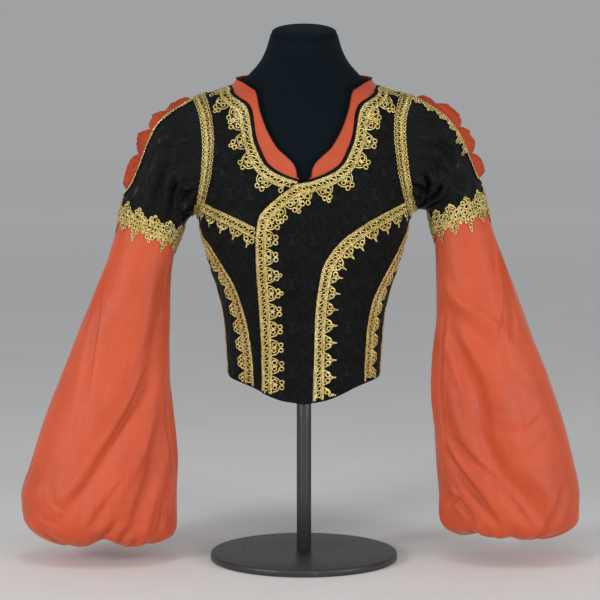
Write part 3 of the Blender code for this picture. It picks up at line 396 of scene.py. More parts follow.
def resample(rows, parts):
    """parts + 1 places at equal steps along a line given by (turn, height) rows."""
    rows = np.asarray(rows, float)
    p = form_point(rows[:, 0], rows[:, 1])
    s = np.concatenate([[0], np.cumsum(np.linalg.norm(np.diff(p, axis=0), axis=1))])
    t = np.linspace(0, s[-1], parts + 1)
    return np.stack([through(s, rows[:, 0])(t), through(s, rows[:, 1])(t)], -1)


def length(rows):
    rows = resample(rows, 60)
    p = form_point(rows[:, 0], rows[:, 1])
    return np.linalg.norm(np.diff(p, axis=0), axis=1).sum()


def armhole(deg):
    s, c = np.sin(np.radians(deg)), np.cos(np.radians(deg))
    return np.stack([90 - ARM_TURN * np.sign(s) * np.abs(s)**0.85, ARM_MID + ARM_RISE * c], -1)


def hem(turn):
    table = np.array(HEM, float)
    return through(table[:, 0], table[:, 1])(np.abs((np.asarray(turn) + 180) % 360 - 180))


under_edge = through([z for _, z in CLOSURE[::-1]], [t + LAP_UNDER for t, _ in CLOSURE[::-1]])


def lap(turn, height):
    """How much higher the left front lies where the right front is below it."""
    return LAP_RISE * (1 - ease((turn - under_edge(height) - 5) / 13))


def bodice_rise(turn, height):
    """Slight unevenness of the fitted cloth, the same for what lies on it."""
    x = np.asarray(turn) * 2.4
    pull = ripple(x * 2.2, np.asarray(height), 70, 5) * 0.28 + ripple(x, np.asarray(height) * 1.7, 44, 6) * 0.16
    return np.clip(pull, -0.75, 0.9)


# ------------------------------------------------------------ mesh makers
def grid_quads(rows, cols, start, around):
    i, j = np.meshgrid(np.arange(rows - 1), np.arange(cols if around else cols - 1), indexing="ij")
    a = start + i * cols + j
    b = start + i * cols + (j + 1) % cols
    return np.stack([a, b, b + cols, a + cols], -1).reshape(-1, 4)


def signed_volume(v, f):
    a, b, c, d = [v[f[:, k]] for k in range(4)]
    return ((a * np.cross(b, c)).sum() + (a * np.cross(c, d)).sum()) / 6


def build(name, verts, faces, uv, material, body="root"):
    """A mesh from corner lists in millimetres, with its own cloth coordinates in metres."""
    mesh = bpy.data.meshes.new(name)
    mesh.from_pydata((np.asarray(verts) * 0.001).tolist(), [], faces)
    layer = mesh.uv_layers.new(name="cloth")
    layer.uv.foreach_set("vector", np.asarray(uv, np.float32).ravel() * 0.001)
    mesh.shade_smooth()
    mesh.set_sharp_from_angle(angle=math.radians(58))
    mesh.materials.append(material)
    ob = bpy.data.objects.new(name, mesh)
    scene.collection.objects.link(ob)
    return ob


def shell(name, outer, inner, material, uv, around=False):
    """A closed thin wall between two grids of points; uv is a grid in mm, one column more if around."""
    rows, cols = outer.shape[:2]
    n = rows * cols
    front = grid_quads(rows, cols, 0, around)
    span = cols if around else cols - 1
    i, j = np.meshgrid(np.arange(rows - 1), np.arange(span), indexing="ij")
    corner = np.stack([uv[i, j], uv[i, j + 1], uv[i + 1, j + 1], uv[i + 1, j]], 2).reshape(-1, 4, 2)
    back, back_uv = front[:, ::-1] + n, corner[:, ::-1]
    top, end = list(range(cols)), list(range((rows - 1) * cols, n))
    if around:
        rims = [top + top[:1], (end + end[:1])[::-1]]
    else:
        right, left = list(range(cols - 1, n, cols)), list(range(0, n, cols))
        rims = [top + right[1:] + end[::-1][1:] + left[::-1][1:]]
    rim = np.array([(b, a, a + n, b + n) for line in rims for a, b in zip(line[:-1], line[1:])])
    flat = uv[:, :cols].reshape(-1, 2)
    rim_uv = flat[rim % n]
    quads = np.concatenate([front, back, rim])
    all_uv = np.concatenate([corner, back_uv, rim_uv])
    verts = np.concatenate([outer.reshape(-1, 3), inner.reshape(-1, 3)])
    if signed_volume(verts, quads) < 0:
        quads, all_uv = quads[:, ::-1], all_uv[:, ::-1]
    return build(name + "_cloth", verts, quads.tolist(), all_uv.reshape(-1, 2), material)


def area(grid, around=False):
    """The area of a grid of points in square metres."""
    if around:
        grid = np.concatenate([grid, grid[:, :1]], 1)
    a, b, c, d = grid[:-1, :-1], grid[:-1, 1:], grid[1:, 1:], grid[1:, :-1]
    return (np.linalg.norm(np.cross(b - a, c - a), axis=-1).sum()
            + np.linalg.norm(np.cross(c - a, d - a), axis=-1).sum()) / 2e6


SHEETS = []


def finish_cloth(ob, node, grid, around=False, extra=1.0):
    """Ride, replace the node, and state the flat cut from the piece's own grid."""
    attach(ob, "root")
    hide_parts(node)
    if around:
        grid = np.concatenate([grid, grid[:, :1]], 1)
    wide = np.linalg.norm(np.diff(grid, axis=1), axis=-1).sum(1).max() / 1000
    tall = np.linalg.norm(np.diff(grid, axis=0), axis=-1).sum(0).max() / 1000
    cut = min(area(grid) * extra, 0.999 * wide * tall)
    flat = (round(wide, 3), round(tall, 3))
    cut = min(cut, flat[0] * flat[1])
    SHEETS.append((ob.name, flat, round(cut, 4)))
    return ob


# --------------------------------------------------------------- materials
class Look:
    """A node material under construction."""

    def __init__(self, name, colour, rough, metal=0.0, specular=0.5):
        self.material = bpy.data.materials.new(name)
        self.material.use_nodes = True
        self.tree = self.material.node_tree
        self.shader = self.tree.nodes["Principled BSDF"]
        self.shader.inputs["Base Color"].default_value = (*colour, 1)
        self.shader.inputs["Roughness"].default_value = rough
        self.shader.inputs["Metallic"].default_value = metal
        self.shader.inputs["Specular IOR Level"].default_value = specular

    def node(self, kind, **settings):
        n = self.tree.nodes.new("ShaderNode" + kind)
        for key, value in settings.items():
            setattr(n, key, value)
        return n

    def put(self, value, socket):
        if isinstance(value, bpy.types.NodeSocket):
            self.tree.links.new(value, socket)
        else:
            socket.default_value = value

    def uv(self):
        n = self.node("UVMap")
        n.uv_map = "cloth"
        s = self.node("SeparateXYZ")
        self.put(n.outputs[0], s.inputs[0])
        return n.outputs[0], s.outputs[0], s.outputs[1]

    def place(self):
        return self.node("TexCoord").outputs["Object"]

    def math(self, op, a, b=0.0, c=0.0, clamp=False):
        n = self.node("Math", operation=op, use_clamp=clamp)
        self.put(a, n.inputs[0])
        self.put(b, n.inputs[1])
        self.put(c, n.inputs[2])
        return n.outputs[0]

    def noise(self, vector, scale, detail=3.0, rough=0.5, stretch=None):
        if stretch:
            m = self.node("Mapping")
            self.put(vector, m.inputs[0])
            m.inputs["Scale"].default_value = stretch
            vector = m.outputs[0]
        n = self.node("TexNoise")
        self.put(vector, n.inputs["Vector"])
        n.inputs["Scale"].default_value = scale
        n.inputs["Detail"].default_value = detail
        n.inputs["Roughness"].default_value = rough
        return n.outputs[0]

    def span(self, value, low, high, to_low=0.0, to_high=1.0):
        n = self.node("MapRange")
        for k, v in enumerate((value, low, high, to_low, to_high)):
            self.put(v, n.inputs[k])
        return n.outputs[0]

    def mix(self, factor, one, two):
        n = self.node("Mix", data_type="RGBA")
        self.put(factor, n.inputs[0])
        self.put(one if isinstance(one, bpy.types.NodeSocket) else (*one, 1), n.inputs[6])
        self.put(two if isinstance(two, bpy.types.NodeSocket) else (*two, 1), n.inputs[7])
        return n.outputs[2]

    def bump(self, height, distance, strength=1.0, under=None):
        n = self.node("Bump")
        n.inputs["Strength"].default_value = strength
        n.inputs["Distance"].default_value = distance
        self.put(height, n.inputs["Height"])
        if under is not None:
            self.put(under, n.inputs["Normal"])
        return n.outputs[0]

    def to(self, name, value):
        self.put(value, self.shader.inputs[name])


def weave(look, x, y, pitch):
    """Plain weave as a height from 0 to 1, one thread to each pitch in metres."""
    a = look.math("SINE", look.math("MULTIPLY", x, math.pi / pitch))
    b = look.math("SINE", look.math("MULTIPLY", y, math.pi / pitch))
    over = look.math("MULTIPLY", a, b)
    return look.span(over, -1, 1)


def brocade_look(name, gloss, rough):
    """Black on black: a lattice of pointed ovals with leaves in them, satin on a ribbed ground."""
    look = Look(name, (0.005, 0.0055, 0.0055), 0.62, specular=gloss)
    vector, x, y = look.uv()
    wander = look.span(look.noise(vector, 45, 1), 0, 1, -0.0007, 0.0007)
    x = look.math("ADD", x, wander)
    # the lattice repeats every 34 mm across and 74 mm down
    cx = look.math("MULTIPLY", x, 2 * math.pi / 0.034)
    cy = look.math("MULTIPLY", y, 2 * math.pi / 0.074)
    bend = look.math("MULTIPLY", look.math("SINE", look.math("MULTIPLY", cy, 2.0)), 0.35)
    a = look.math("COSINE", look.math("ADD", cx, bend))
    b = look.math("COSINE", cy)
    field = look.math("ADD", a, b)
    size = look.math("ABSOLUTE", field)

    def line(value, at, half):
        off = look.math("ABSOLUTE", look.math("SUBTRACT", value, at))
        return look.span(off, half * 0.55, half, 1, 0)
    outline = line(size, 0.18, 0.13)
    second = line(size, 0.95, 0.10)
    # leaves: veins across the inside of each oval
    vein = look.math("SINE", look.math("ADD", look.math("MULTIPLY", cy, 5.0),
                                       look.math("MULTIPLY", look.math("ABSOLUTE", look.math("SINE", look.math("MULTIPLY", cx, 0.5))), 7.0)))
    leaf = look.math("MULTIPLY", look.span(vein, 0.25, 0.6), look.span(size, 1.05, 1.2))
    core = look.span(size, 1.72, 1.82)
    curl = look.math("SINE", look.math("ADD", look.math("MULTIPLY", cx, 3.0), look.math("MULTIPLY", look.math("SINE", look.math("MULTIPLY", cy, 3.0)), 2.2)))
    scroll = look.math("MULTIPLY", look.span(curl, 0.45, 0.75), look.math("MULTIPLY", look.span(size, 0.34, 0.42), look.span(size, 0.78, 0.70)))
    figure = look.math("MAXIMUM", look.math("MAXIMUM", outline, second), look.math("MAXIMUM", look.math("MAXIMUM", leaf, core), scroll))
    rib = look.math("SINE", look.math("MULTIPLY", y, 2 * math.pi / 0.0011))
    rib = look.span(rib, -1, 1)
    thread = weave(look, x, y, 0.0006)
    uneven = look.noise(vector, 38, 4, 0.6)
    figure_now = look.math("MULTIPLY", figure, look.span(uneven, 0.30, 0.62, 0.35, 1.0))
    ground = look.mix(look.span(uneven, 0.35, 0.7), (0.0034, 0.0038, 0.0037), (0.0054, 0.0058, 0.0057))
    look.to("Base Color", look.mix(figure_now, ground, (0.0088, 0.0093, 0.0092)))
    look.to("Roughness", look.span(figure_now, 0, 1, rough, rough - 0.2))
    look.shader.inputs["Sheen Weight"].default_value = 0.035
    look.shader.inputs["Sheen Roughness"].default_value = 0.5
    look.shader.inputs["Sheen Tint"].default_value = (0.55, 0.6, 0.65, 1)
    fine = look.bump(look.math("ADD", look.math("MULTIPLY", rib, look.span(figure, 0, 1, 1, 0.2)), look.math("MULTIPLY", thread, 0.4)), 0.00012)
    crepe = look.bump(look.noise(vector, 260, 4, 0.65), 0.0006, 0.5, fine)
    look.to("Normal", look.bump(figure, 0.00045, 0.9, crepe))
    return look.material


def silk_look(name, colour, deep, pale, sheen=0.34, gloss=0.34):
    """Taffeta: close plain weave with slubs, crisp small creases and a soft sheen."""
    look = Look(name, colour, 0.44, specular=gloss)
    vector, x, y = look.uv()
    place = look.place()
    slub = look.noise(vector, 1.0, 3, 0.6, stretch=(420, 9, 1))
    weft = look.noise(vector, 1.0, 2, 0.5, stretch=(12, 900, 1))
    cloud = look.noise(place, 9, 3, 0.55)
    tone = look.math("ADD", look.math("MULTIPLY", slub, 0.26), look.math("ADD", look.math("MULTIPLY", weft, 0.24), look.math("MULTIPLY", cloud, 0.50)))
    two = look.mix(look.span(tone, 0.36, 0.52), deep, colour)
    look.to("Base Color", look.mix(look.span(tone, 0.50, 0.70), two, pale))
    look.to("Roughness", look.span(cloud, 0.3, 0.7, 0.44, 0.58))
    look.shader.inputs["Sheen Weight"].default_value = sheen
    look.shader.inputs["Sheen Roughness"].default_value = 0.35
    look.shader.inputs["Sheen Tint"].default_value = (1.0, 0.72, 0.6, 1)
    look.shader.inputs["Anisotropic"].default_value = 0.35
    fine = look.bump(weave(look, x, y, 0.00045), 0.00010, 0.6)
    ridges = look.math("ABSOLUTE", look.span(look.noise(vector, 1.0, 3, 0.5, stretch=(46, 15, 1)), 0, 1, -1, 1))
    crisp = look.bump(ridges, 0.0030, 0.20, fine)
    soft = look.bump(look.noise(place, 21, 3, 0.5), 0.010, 0.17, crisp)
    look.to("Normal", look.bump(slub, 0.0003, 0.20, soft))
    return look.material


def gold_look():
    """Gimp cord wound with metal thread; x runs along the cord and y round it."""
    look = Look("gold_thread", (0.78, 0.60, 0.24), 0.34, metal=0.8, specular=0.5)
    vector, x, y = look.uv()
    place = look.place()
    wound = look.math("SINE", look.math("MULTIPLY", look.math("ADD", look.math("MULTIPLY", x, 1 / 0.00115), look.math("MULTIPLY", y, 1000 / 7.0)), 2 * math.pi))
    # painted shade round the cord: dark brown on its sides and underside, its gold colour only on its top, where light
    # falls
    painted_shade_round_cord = look.math("COSINE", look.math("MULTIPLY", look.math("SUBTRACT", look.math("MULTIPLY", y, 1000 / 7.0), 0.202), 2 * math.pi))
    tarnish_and_glint_patches = look.noise(place, 34, 4, 0.6)
    glint_and_grain_speckle = look.noise(place, 460, 2, 0.55)
    # tone mixes real tarnish (darker gold) with painted glints (near-white specks); the fine speckle also sets
    # roughness and bump
    tone = look.math("ADD", look.math("MULTIPLY", tarnish_and_glint_patches, 0.35), look.math("MULTIPLY", glint_and_grain_speckle, 0.65))
    two = look.mix(look.span(tone, 0.36, 0.50), (0.50, 0.345, 0.085), (0.88, 0.70, 0.245))
    # painted glints: near-white colour where the speckle is high
    with_painted_glints = look.mix(look.span(tone, 0.54, 0.66), two, (1.0, 0.96, 0.68))
    look.to("Base Color", look.mix(look.span(painted_shade_round_cord, -0.30, 0.90), (0.10, 0.056, 0.010), with_painted_glints))
    look.to("Roughness", look.span(glint_and_grain_speckle, 0.3, 0.7, 0.17, 0.42))
    look.to("Normal", look.bump(look.math("ADD", look.span(wound, -1, 1), look.math("MULTIPLY", glint_and_grain_speckle, 0.8)), 0.00035, 1.0))
    return look.material


def cord_look():
    look = Look("black_cord", (0.005, 0.005, 0.006), 0.7, specular=0.05)
    vector, x, y = look.uv()
    twist = look.math("SINE", look.math("MULTIPLY", look.math("ADD", look.math("MULTIPLY", x, 1 / 0.0014), look.math("MULTIPLY", y, 1000 / 8.0)), 2 * math.pi))
    dust = look.noise(vector, 300, 3)
    look.to("Base Color", look.mix(look.span(dust, 0.4, 0.7), (0.004, 0.004, 0.0045), (0.010, 0.010, 0.0105)))
    look.to("Normal", look.bump(look.span(twist, -1, 1), 0.0003, 0.8))
    return look.material


def form_look(name, specular, sheen):
    """Dark slate stretch cloth drawn smooth over the form."""
    look = Look(name, (0.005, 0.0075, 0.0105), 0.74, specular=specular)
    vector, x, y = look.uv()
    place = look.place()
    knit = weave(look, look.math("ADD", x, look.math("MULTIPLY", y, 0.5)), y, 0.0009)
    lint = look.noise(place, 420, 3, 0.7)
    cloud = look.noise(place, 12, 3)
    base = look.mix(look.span(cloud, 0.35, 0.65), (0.0029, 0.0060, 0.0086), (0.0042, 0.0078, 0.0108))
    look.to("Base Color", look.mix(look.span(lint, 0.62, 0.74, 0, 0.5), base, (0.012, 0.015, 0.018)))
    look.to("Roughness", look.span(cloud, 0.3, 0.7, 0.66, 0.78))
    look.shader.inputs["Sheen Weight"].default_value = sheen
    look.shader.inputs["Sheen Tint"].default_value = (0.6, 0.75, 0.9, 1)
    look.to("Normal", look.bump(knit, 0.0002, 0.45, look.bump(lint, 0.0002, 0.4)))
    return look.material


def steel_look():
    look = Look("stand_paint", (0.03, 0.03, 0.032), 0.42, metal=0.0, specular=0.5)
    place = look.place()
    peel = look.noise(place, 160, 3, 0.6)
    wear = look.noise(place, 24, 5, 0.7)
    look.to("Base Color", look.mix(look.span(wear, 0.62, 0.72, 0, 0.6), (0.026, 0.026, 0.028), (0.075, 0.073, 0.070)))
    look.to("Roughness", look.span(peel, 0.3, 0.7, 0.36, 0.52))
    look.to("Normal", look.bump(peel, 0.0004, 0.5))
    return look.material


BROCADE, GOLD, CORD = brocade_look("brocade", 0.05, 0.68), gold_look(), cord_look()
SLEEVE_BROCADE = brocade_look("brocade_sleeve", 0.08, 0.48)
SILK = silk_look("silk", (0.560, 0.077, 0.023), (0.490, 0.063, 0.018), (0.630, 0.093, 0.031))
# painted shade: the collar band is the same taffeta, coloured darker as if in shadow
PAINTED_SHADE_COLLAR_SILK = silk_look("silk_collar_painted_shade", (0.500, 0.072, 0.024), (0.430, 0.058, 0.018), (0.560, 0.085, 0.030))
# painted shade: the puffs are the same taffeta, coloured much darker for the shadow in their crumples
PAINTED_SHADE_PUFF_SILK = silk_look("silk_puff_painted_shade", (0.380, 0.047, 0.015), (0.230, 0.026, 0.008), (0.480, 0.066, 0.023), 0.16, 0.15)
COVER, CAP_COVER, STEEL = form_look("form_cover", 0.04, 0.03), form_look("form_cap", 0.022, 0.018), steel_look()


# ------------------------------------------------------------ bodice panels
def patch(first, last, top, bottom, side=1):
    """Places over a four-sided panel, blended from its four seam lines."""
    first, last, top, bottom = [np.asarray(x, float) for x in (first, last, top, bottom)]
    v = np.linspace(0, 1, len(first))[:, None, None]
    u = np.linspace(0, 1, len(top))[None, :, None]
    g = ((1 - u) * first[:, None] + u * last[:, None] + (1 - v) * top[None] + v * bottom[None]
         - (1 - u) * (1 - v) * first[0] - u * (1 - v) * last[0]
         - (1 - u) * v * first[-1] - u * v * last[-1])
    return g * np.array([side, 1.0])


def inset(g, gap=SEAM):
    p = form_point(g[..., 0], g[..., 1])
    push = np.zeros_like(p)
    push[0] += unit(p[1] - p[0]) * gap
    push[-1] += unit(p[-2] - p[-1]) * gap
    push[:, 0] += unit(p[:, 1] - p[:, 0]) * gap
    push[:, -1] += unit(p[:, -2] - p[:, -1]) * gap
    turn, height = walk(g[..., 0], g[..., 1], push)
    return np.stack([turn, height], -1)


def girth(turn, height):
    """Distance over the form from the front middle to a place at the same height."""
    steps = np.linspace(0, 1, 13)
    t = np.asarray(turn)[..., None] * steps
    p = form_point(t, np.asarray(height)[..., None] * np.ones(13))[..., :2]
    return np.sign(turn) * np.linalg.norm(np.diff(p, axis=-2), axis=-1).sum(-1)


def panel(name, g, grain, raised=None):
    g = inset(g)
    turn, height = g[..., 0], g[..., 1]
    rise = bodice_rise(turn, height) + (raised(turn, height) if raised else 0)
    outer = over_form(turn, height, EASE + WALL + rise)
    inner = over_form(turn, height, EASE + np.minimum(rise, raised(turn, height) if raised else 0.0))
    across = girth(turn, height) - girth(grain + 0 * turn, height)
    uv = np.stack([across + 3.1 * grain, height], -1)
    ob = shell(name, outer, inner, BROCADE, uv)
    return finish_cloth(ob, name, outer)


def straight(a, b, parts):
    return np.linspace(np.asarray(a, float), np.asarray(b, float), parts + 1)


def hem_line(a, b, parts):
    t = np.linspace(a, b, parts + 1)
    return np.stack([t, hem(t)], -1)


def to_hem(rows):
    rows = [tuple(r) for r in rows]
    return rows[:-1] + [(rows[-1][0], float(hem(rows[-1][0])))]


def joined(start, rows):
    return [tuple(armhole(start))] + [tuple(r) for r in rows[1:]]


def finer(steps, times):
    """The same uneven steps, each cut into that many."""
    steps = np.asarray(steps, float)
    at = np.linspace(0, len(steps) - 1, (len(steps) - 1) * times + 1)
    return np.interp(at, np.arange(len(steps)), steps)


F = 5                                     # how much finer than the solids' walls
princess_left = resample(to_hem(joined(ARM_FRONT, PRINCESS)), 10 * F)
princess_right = resample(joined(ARM_FRONT, PRINCESS_RIGHT), 4 * F)
side_left = resample(to_hem(joined(ARM_SIDE, SIDE_LEFT)), 10 * F)
side_right = resample(to_hem(joined(ARM_SIDE, SIDE_RIGHT)), 10 * F)
back_seam = resample(to_hem(joined(ARM_BACK, BACK_SEAM)), 10 * F)
neck_line = resample(NECK, 7 * F)
neck_back = resample(NECK_BACK, 5 * F)
closure = resample(to_hem(CLOSURE), 10 * F)
arm_front = armhole(finer(ARM_STEPS, F))
arm_under = armhole(np.linspace(ARM_FRONT, ARM_SIDE, 4 * F + 1))
arm_side = armhole(np.linspace(ARM_SIDE, ARM_BACK, 4 * F + 1))
arm_back = armhole(finer(ARM_STEPS_BACK, F))
ARM_STATIONS = np.concatenate([
    finer(ARM_STEPS, 3), np.linspace(ARM_FRONT, ARM_SIDE, 13)[1:],
    np.linspace(ARM_SIDE, ARM_BACK, 13)[1:], finer(ARM_STEPS_BACK, 3)[::-1][1:]])

first = np.concatenate([neck_line[:-1], straight(neck_line[-1], closure[0], 2)[1:2], closure[1:]])
last = np.concatenate([arm_front, princess_left[1:]])
panel("left_front", patch(first, last, straight(first[0], last[0], 6 * F),
                          hem_line(first[-1, 0], last[-1, 0], 6 * F)), 2.0, lap)
first = np.concatenate([neck_line, resample(UNDER_TOP, 4 * F)[1:]])
last = np.concatenate([arm_front, princess_right[1:]])
panel("right_front", patch(first, last, straight(first[0], last[0], 6 * F),
                           straight(first[-1], last[-1], 6 * F), -1), -40.0)
panel("left_side_front", patch(princess_left, side_left, arm_under,
                               hem_line(princess_left[-1, 0], side_left[-1, 0], 4 * F)), 36.0)
inner_edge = np.concatenate([princess_right, resample(to_hem([PRINCESS_RIGHT[-1]] + UNDER_LOW),
                                                      6 * F)[1:]])
panel("right_side_front", patch(inner_edge, side_right, arm_under,
                                hem_line(inner_edge[-1, 0], side_right[-1, 0], 4 * F), -1), -40.0)
for side, word, seam_line in ((1, "left", side_left), (-1, "right", side_right)):
    panel(word + "_side", patch(seam_line, back_seam, arm_side,
                                hem_line(seam_line[-1, 0], back_seam[-1, 0], 4 * F), side),
          side * 80.0)
    first = np.concatenate([straight(neck_back[0], arm_back[0], 2 * F), arm_back[1:],
                            back_seam[1:]])
    middle = resample([(180, 813), (180, 700), (180, 560), (180, 430), (180, 318)],
                      len(first) - 1)
    panel(word + "_back", patch(first, middle, neck_back,
                                hem_line(back_seam[-1, 0], 180, 5 * F), side), side * 150.0)


# --------------------------------------------------------------- wire work
class Wires:
    """Cords of lace, each a line of (u, w, h) in mm along, across and off a strip."""

    def __init__(self):
        self.groups = {}

    def add(self, path, closed=False, half=WIRE, flat=0.85, anchor=None):
        """anchor is the (u, w) that the path is measured from, if it keeps its shape on a bend."""
        path = np.asarray(path, float)
        key = (len(path), closed, anchor is not None)
        self.groups.setdefault(key, []).append((path, half, flat, anchor or (0.0, 0.0)))

    def ring(self, u, w, radius, half=WIRE, flat=0.85, count=14, anchor=None, h=0.0, oval=1.0, tilt=0.0):
        a = np.linspace(0, 2 * math.pi, count, endpoint=False)
        x, y = radius * np.cos(a), radius * oval * np.sin(a)
        x, y = x * math.cos(tilt) - y * math.sin(tilt), x * math.sin(tilt) + y * math.cos(tilt)
        self.add(np.stack([u + x, w + y, h + 0 * a], -1), True, half, flat, anchor)

    def mesh(self, name, strip, sides=6):
        verts, faces, uvs, n0 = [], [], [], 0
        turnings = np.linspace(0, 2 * math.pi, sides, endpoint=False) + 0.3
        for (count, closed, rigid), rows in self.groups.items():
            path = np.stack([r[0] for r in rows])
            half = np.array([r[1] for r in rows])[:, None, None, None]
            flat = np.array([r[2] for r in rows])[:, None, None, None]
            anchors = np.array([r[3] for r in rows])
            if rigid:
                keep, centre, normal = strip.rigid(anchors, path)
            else:
                keep, centre, normal = strip.flow(path)
            path, half, flat = path[keep], half[keep], flat[keep]
            centre, normal = centre[keep], normal[keep]
            if not len(path):
                continue
            if closed:
                tangent = np.roll(centre, -1, 1) - np.roll(centre, 1, 1)
            else:
                tangent = np.gradient(centre, axis=1)
            tangent = unit(tangent)
            side = unit(np.cross(tangent, normal))
            up = np.cross(side, tangent)
            c, s = np.cos(turnings)[None, None, :, None], np.sin(turnings)[None, None, :, None]
            ring = (centre[:, :, None] + side[:, :, None] * c * half + up[:, :, None] * s * half * flat)
            m = len(ring)
            verts.append(ring.reshape(-1, 3))
            far = np.concatenate([np.zeros((m, 1)), np.cumsum(np.linalg.norm(
                np.diff(centre, axis=1), axis=2), axis=1)], 1)
            if closed:
                far = np.concatenate([far, far[:, -1:] + np.linalg.norm(
                    centre[:, 0] - centre[:, -1], axis=1)[:, None]], 1)
            start = n0 + np.arange(m)[:, None, None] * count * sides
            i = np.arange(count if closed else count - 1)[None, :, None]
            j = np.arange(sides)[None, None, :]
            i1, j1 = (i + 1) % count, (j + 1) % sides
            quad = np.stack([start + i * sides + j, start + i * sides + j1,
                             start + i1 * sides + j1, start + i1 * sides + j], -1)
            faces += quad.reshape(-1, 4).tolist()
            shape = quad.shape[:3]
            x0 = np.broadcast_to(far[:, :quad.shape[1], None], shape)
            x1 = np.broadcast_to(far[:, 1:quad.shape[1] + 1, None], shape)
            y0 = np.broadcast_to(j / sides * 7.0, shape)
            y1 = np.broadcast_to((j + 1) / sides * 7.0, shape)
            uvs.append(np.stack([np.stack([x0, y0], -1), np.stack([x0, y1], -1),
                                 np.stack([x1, y1], -1), np.stack([x1, y0], -1)], 3).reshape(-1, 2))
            if not closed:
                for k, rev in ((0, True), (count - 1, False)):
                    cap = (n0 + np.arange(m)[:, None] * count * sides + k * sides + np.arange(sides)[None])
                    if rev:
                        cap = cap[:, ::-1]
                    faces += cap.tolist()
                    uvs.append(np.zeros((m * sides, 2)))
            n0 += m * count * sides
        ob = build(name + "_work", np.concatenate(verts), faces, np.concatenate(uvs), GOLD)
        return ob


class BodiceStrip:
    """Lace along a line on the bodice; w runs over the cloth to one side of it."""

    def __init__(self, rows, way, side=1, raised=None, keep=None, indent=0.3, reach=LACE_WIDTH + 4):
        self.side, self.raised, self.keep_test, self.indent = side, raised, keep, indent
        self.long = length(rows)
        n = int(self.long / 2.4) + 2
        self.g = resample(rows, n)
        p = form_point(self.g[:, 0], self.g[:, 1])
        self.along = unit(np.gradient(p, axis=0))
        self.across = unit(np.cross(form_normal(self.g[:, 0], self.g[:, 1]), self.along)) * way
        self.u = np.linspace(0, self.long, n + 1)
        self.w = np.arange(-3.0, reach + 3, 3.0)
        t, z = walk(self.g[:, None, 0], self.g[:, None, 1],
                    self.across[:, None, :] * (self.w + indent)[None, :, None])
        self.place, self.normal = self.base(t, z)
        self.ok = self.allowed(t, z).astype(float)

    def base(self, t, z):
        rise = bodice_rise(t, z) + (self.raised(t, z) if self.raised else 0)
        flip = np.array([self.side, 1.0, 1.0])
        normal = form_normal(t, z)
        return ((form_point(t, z) + normal * (EASE + WALL + rise)[..., None]) * flip, normal * flip)

    def allowed(self, t, z):
        above = z > hem(t) + 1.6
        return above & (self.keep_test(t, z) if self.keep_test else True)

    def read(self, table, u, w):
        x = np.clip(u / self.long * (len(self.u) - 1), 0, len(self.u) - 1.001)
        y = np.clip((w - self.w[0]) / 3.0, 0, len(self.w) - 1.001)
        i, j = x.astype(int), y.astype(int)
        fx, fy = (x - i), (y - j)
        if table.ndim == 3:
            fx, fy = fx[..., None], fy[..., None]
        return ((1 - fx) * (1 - fy) * table[i, j] + fx * (1 - fy) * table[i + 1, j]
                + (1 - fx) * fy * table[i, j + 1] + fx * fy * table[i + 1, j + 1])

    def flow(self, path):
        u, w, h = path[..., 0], path[..., 1], path[..., 2]
        normal = unit(self.read(self.normal, u, w))
        ok = (self.read(self.ok, u, w) > 0.5).all(1) & (u > -0.5).all(1) & (u < self.long + 0.5).all(1)
        return ok, self.read(self.place, u, w) + normal * h[..., None], normal

    def rigid(self, anchors, path):
        x = np.clip(anchors[:, 0] / self.long * (len(self.u) - 1), 0, len(self.u) - 1.001)
        i = x.astype(int)
        f = (x - i)[:, None]
        g = (1 - f) * self.g[i] + f * self.g[i + 1]
        along = unit((1 - f) * self.along[i] + f * self.along[i + 1])
        across = unit((1 - f) * self.across[i] + f * self.across[i + 1])
        t0, z0 = walk(g[:, 0], g[:, 1], across * (anchors[:, 1] + self.indent)[:, None])
        # the directions at the anchor itself, so that a cluster lies flat there
        n = form_normal(t0, z0)
        along = unit(along - n * (along * n).sum(-1, keepdims=True))
        across = unit(np.cross(along, n)) * np.sign((np.cross(along, n) * across).sum(-1, keepdims=True))
        vec = along[:, None] * path[..., 0:1] + across[:, None] * path[..., 1:2]
        t, z = walk(t0[:, None] * np.ones(path.shape[1]), z0[:, None] * np.ones(path.shape[1]), vec)
        place, normal = self.base(t, z)
        return self.allowed(t, z).all(1), place + normal * path[..., 2:3], normal


class SurfaceStrip(BodiceStrip):
    """A strip given as a grid of points and normals with its own u and w in mm."""

    def __init__(self, place, normal, long, w):
        self.place, self.normal, self.long = place, normal, long
        self.u, self.w = np.linspace(0, long, len(place)), np.asarray(w, float)
        self.around = False

    def read(self, table, u, w):
        if self.around:
            u = np.mod(u, self.long)
        x = np.clip(u / self.long * (len(self.u) - 1), 0, len(self.u) - 1.001)
        j = np.clip(np.searchsorted(self.w, w) - 1, 0, len(self.w) - 2)
        i = x.astype(int)
        fx = (x - i)[..., None]
        fy = ((w - self.w[j]) / (self.w[j + 1] - self.w[j]))[..., None]
        return ((1 - fx) * (1 - fy) * table[i, j] + fx * (1 - fy) * table[i + 1, j]
                + (1 - fx) * fy * table[i, j + 1] + fx * fy * table[i + 1, j + 1])

    def flow(self, path):
        u, w, h = path[..., 0], path[..., 1], path[..., 2]
        normal = unit(self.read(self.normal, u, w))
        ok = np.ones(len(path), bool)
        if not self.around:
            ok = (u > -0.6).all(1) & (u < self.long + 0.6).all(1)
        return ok, self.read(self.place, u, w) + normal * h[..., None], normal

    def rigid(self, anchors, path):
        whole = path.copy()
        whole[..., :2] += anchors[:, None, :]
        return self.flow(whole)


LIFT = 1.25              # the cords' middles above the cloth
rng = np.random.default_rng(11)


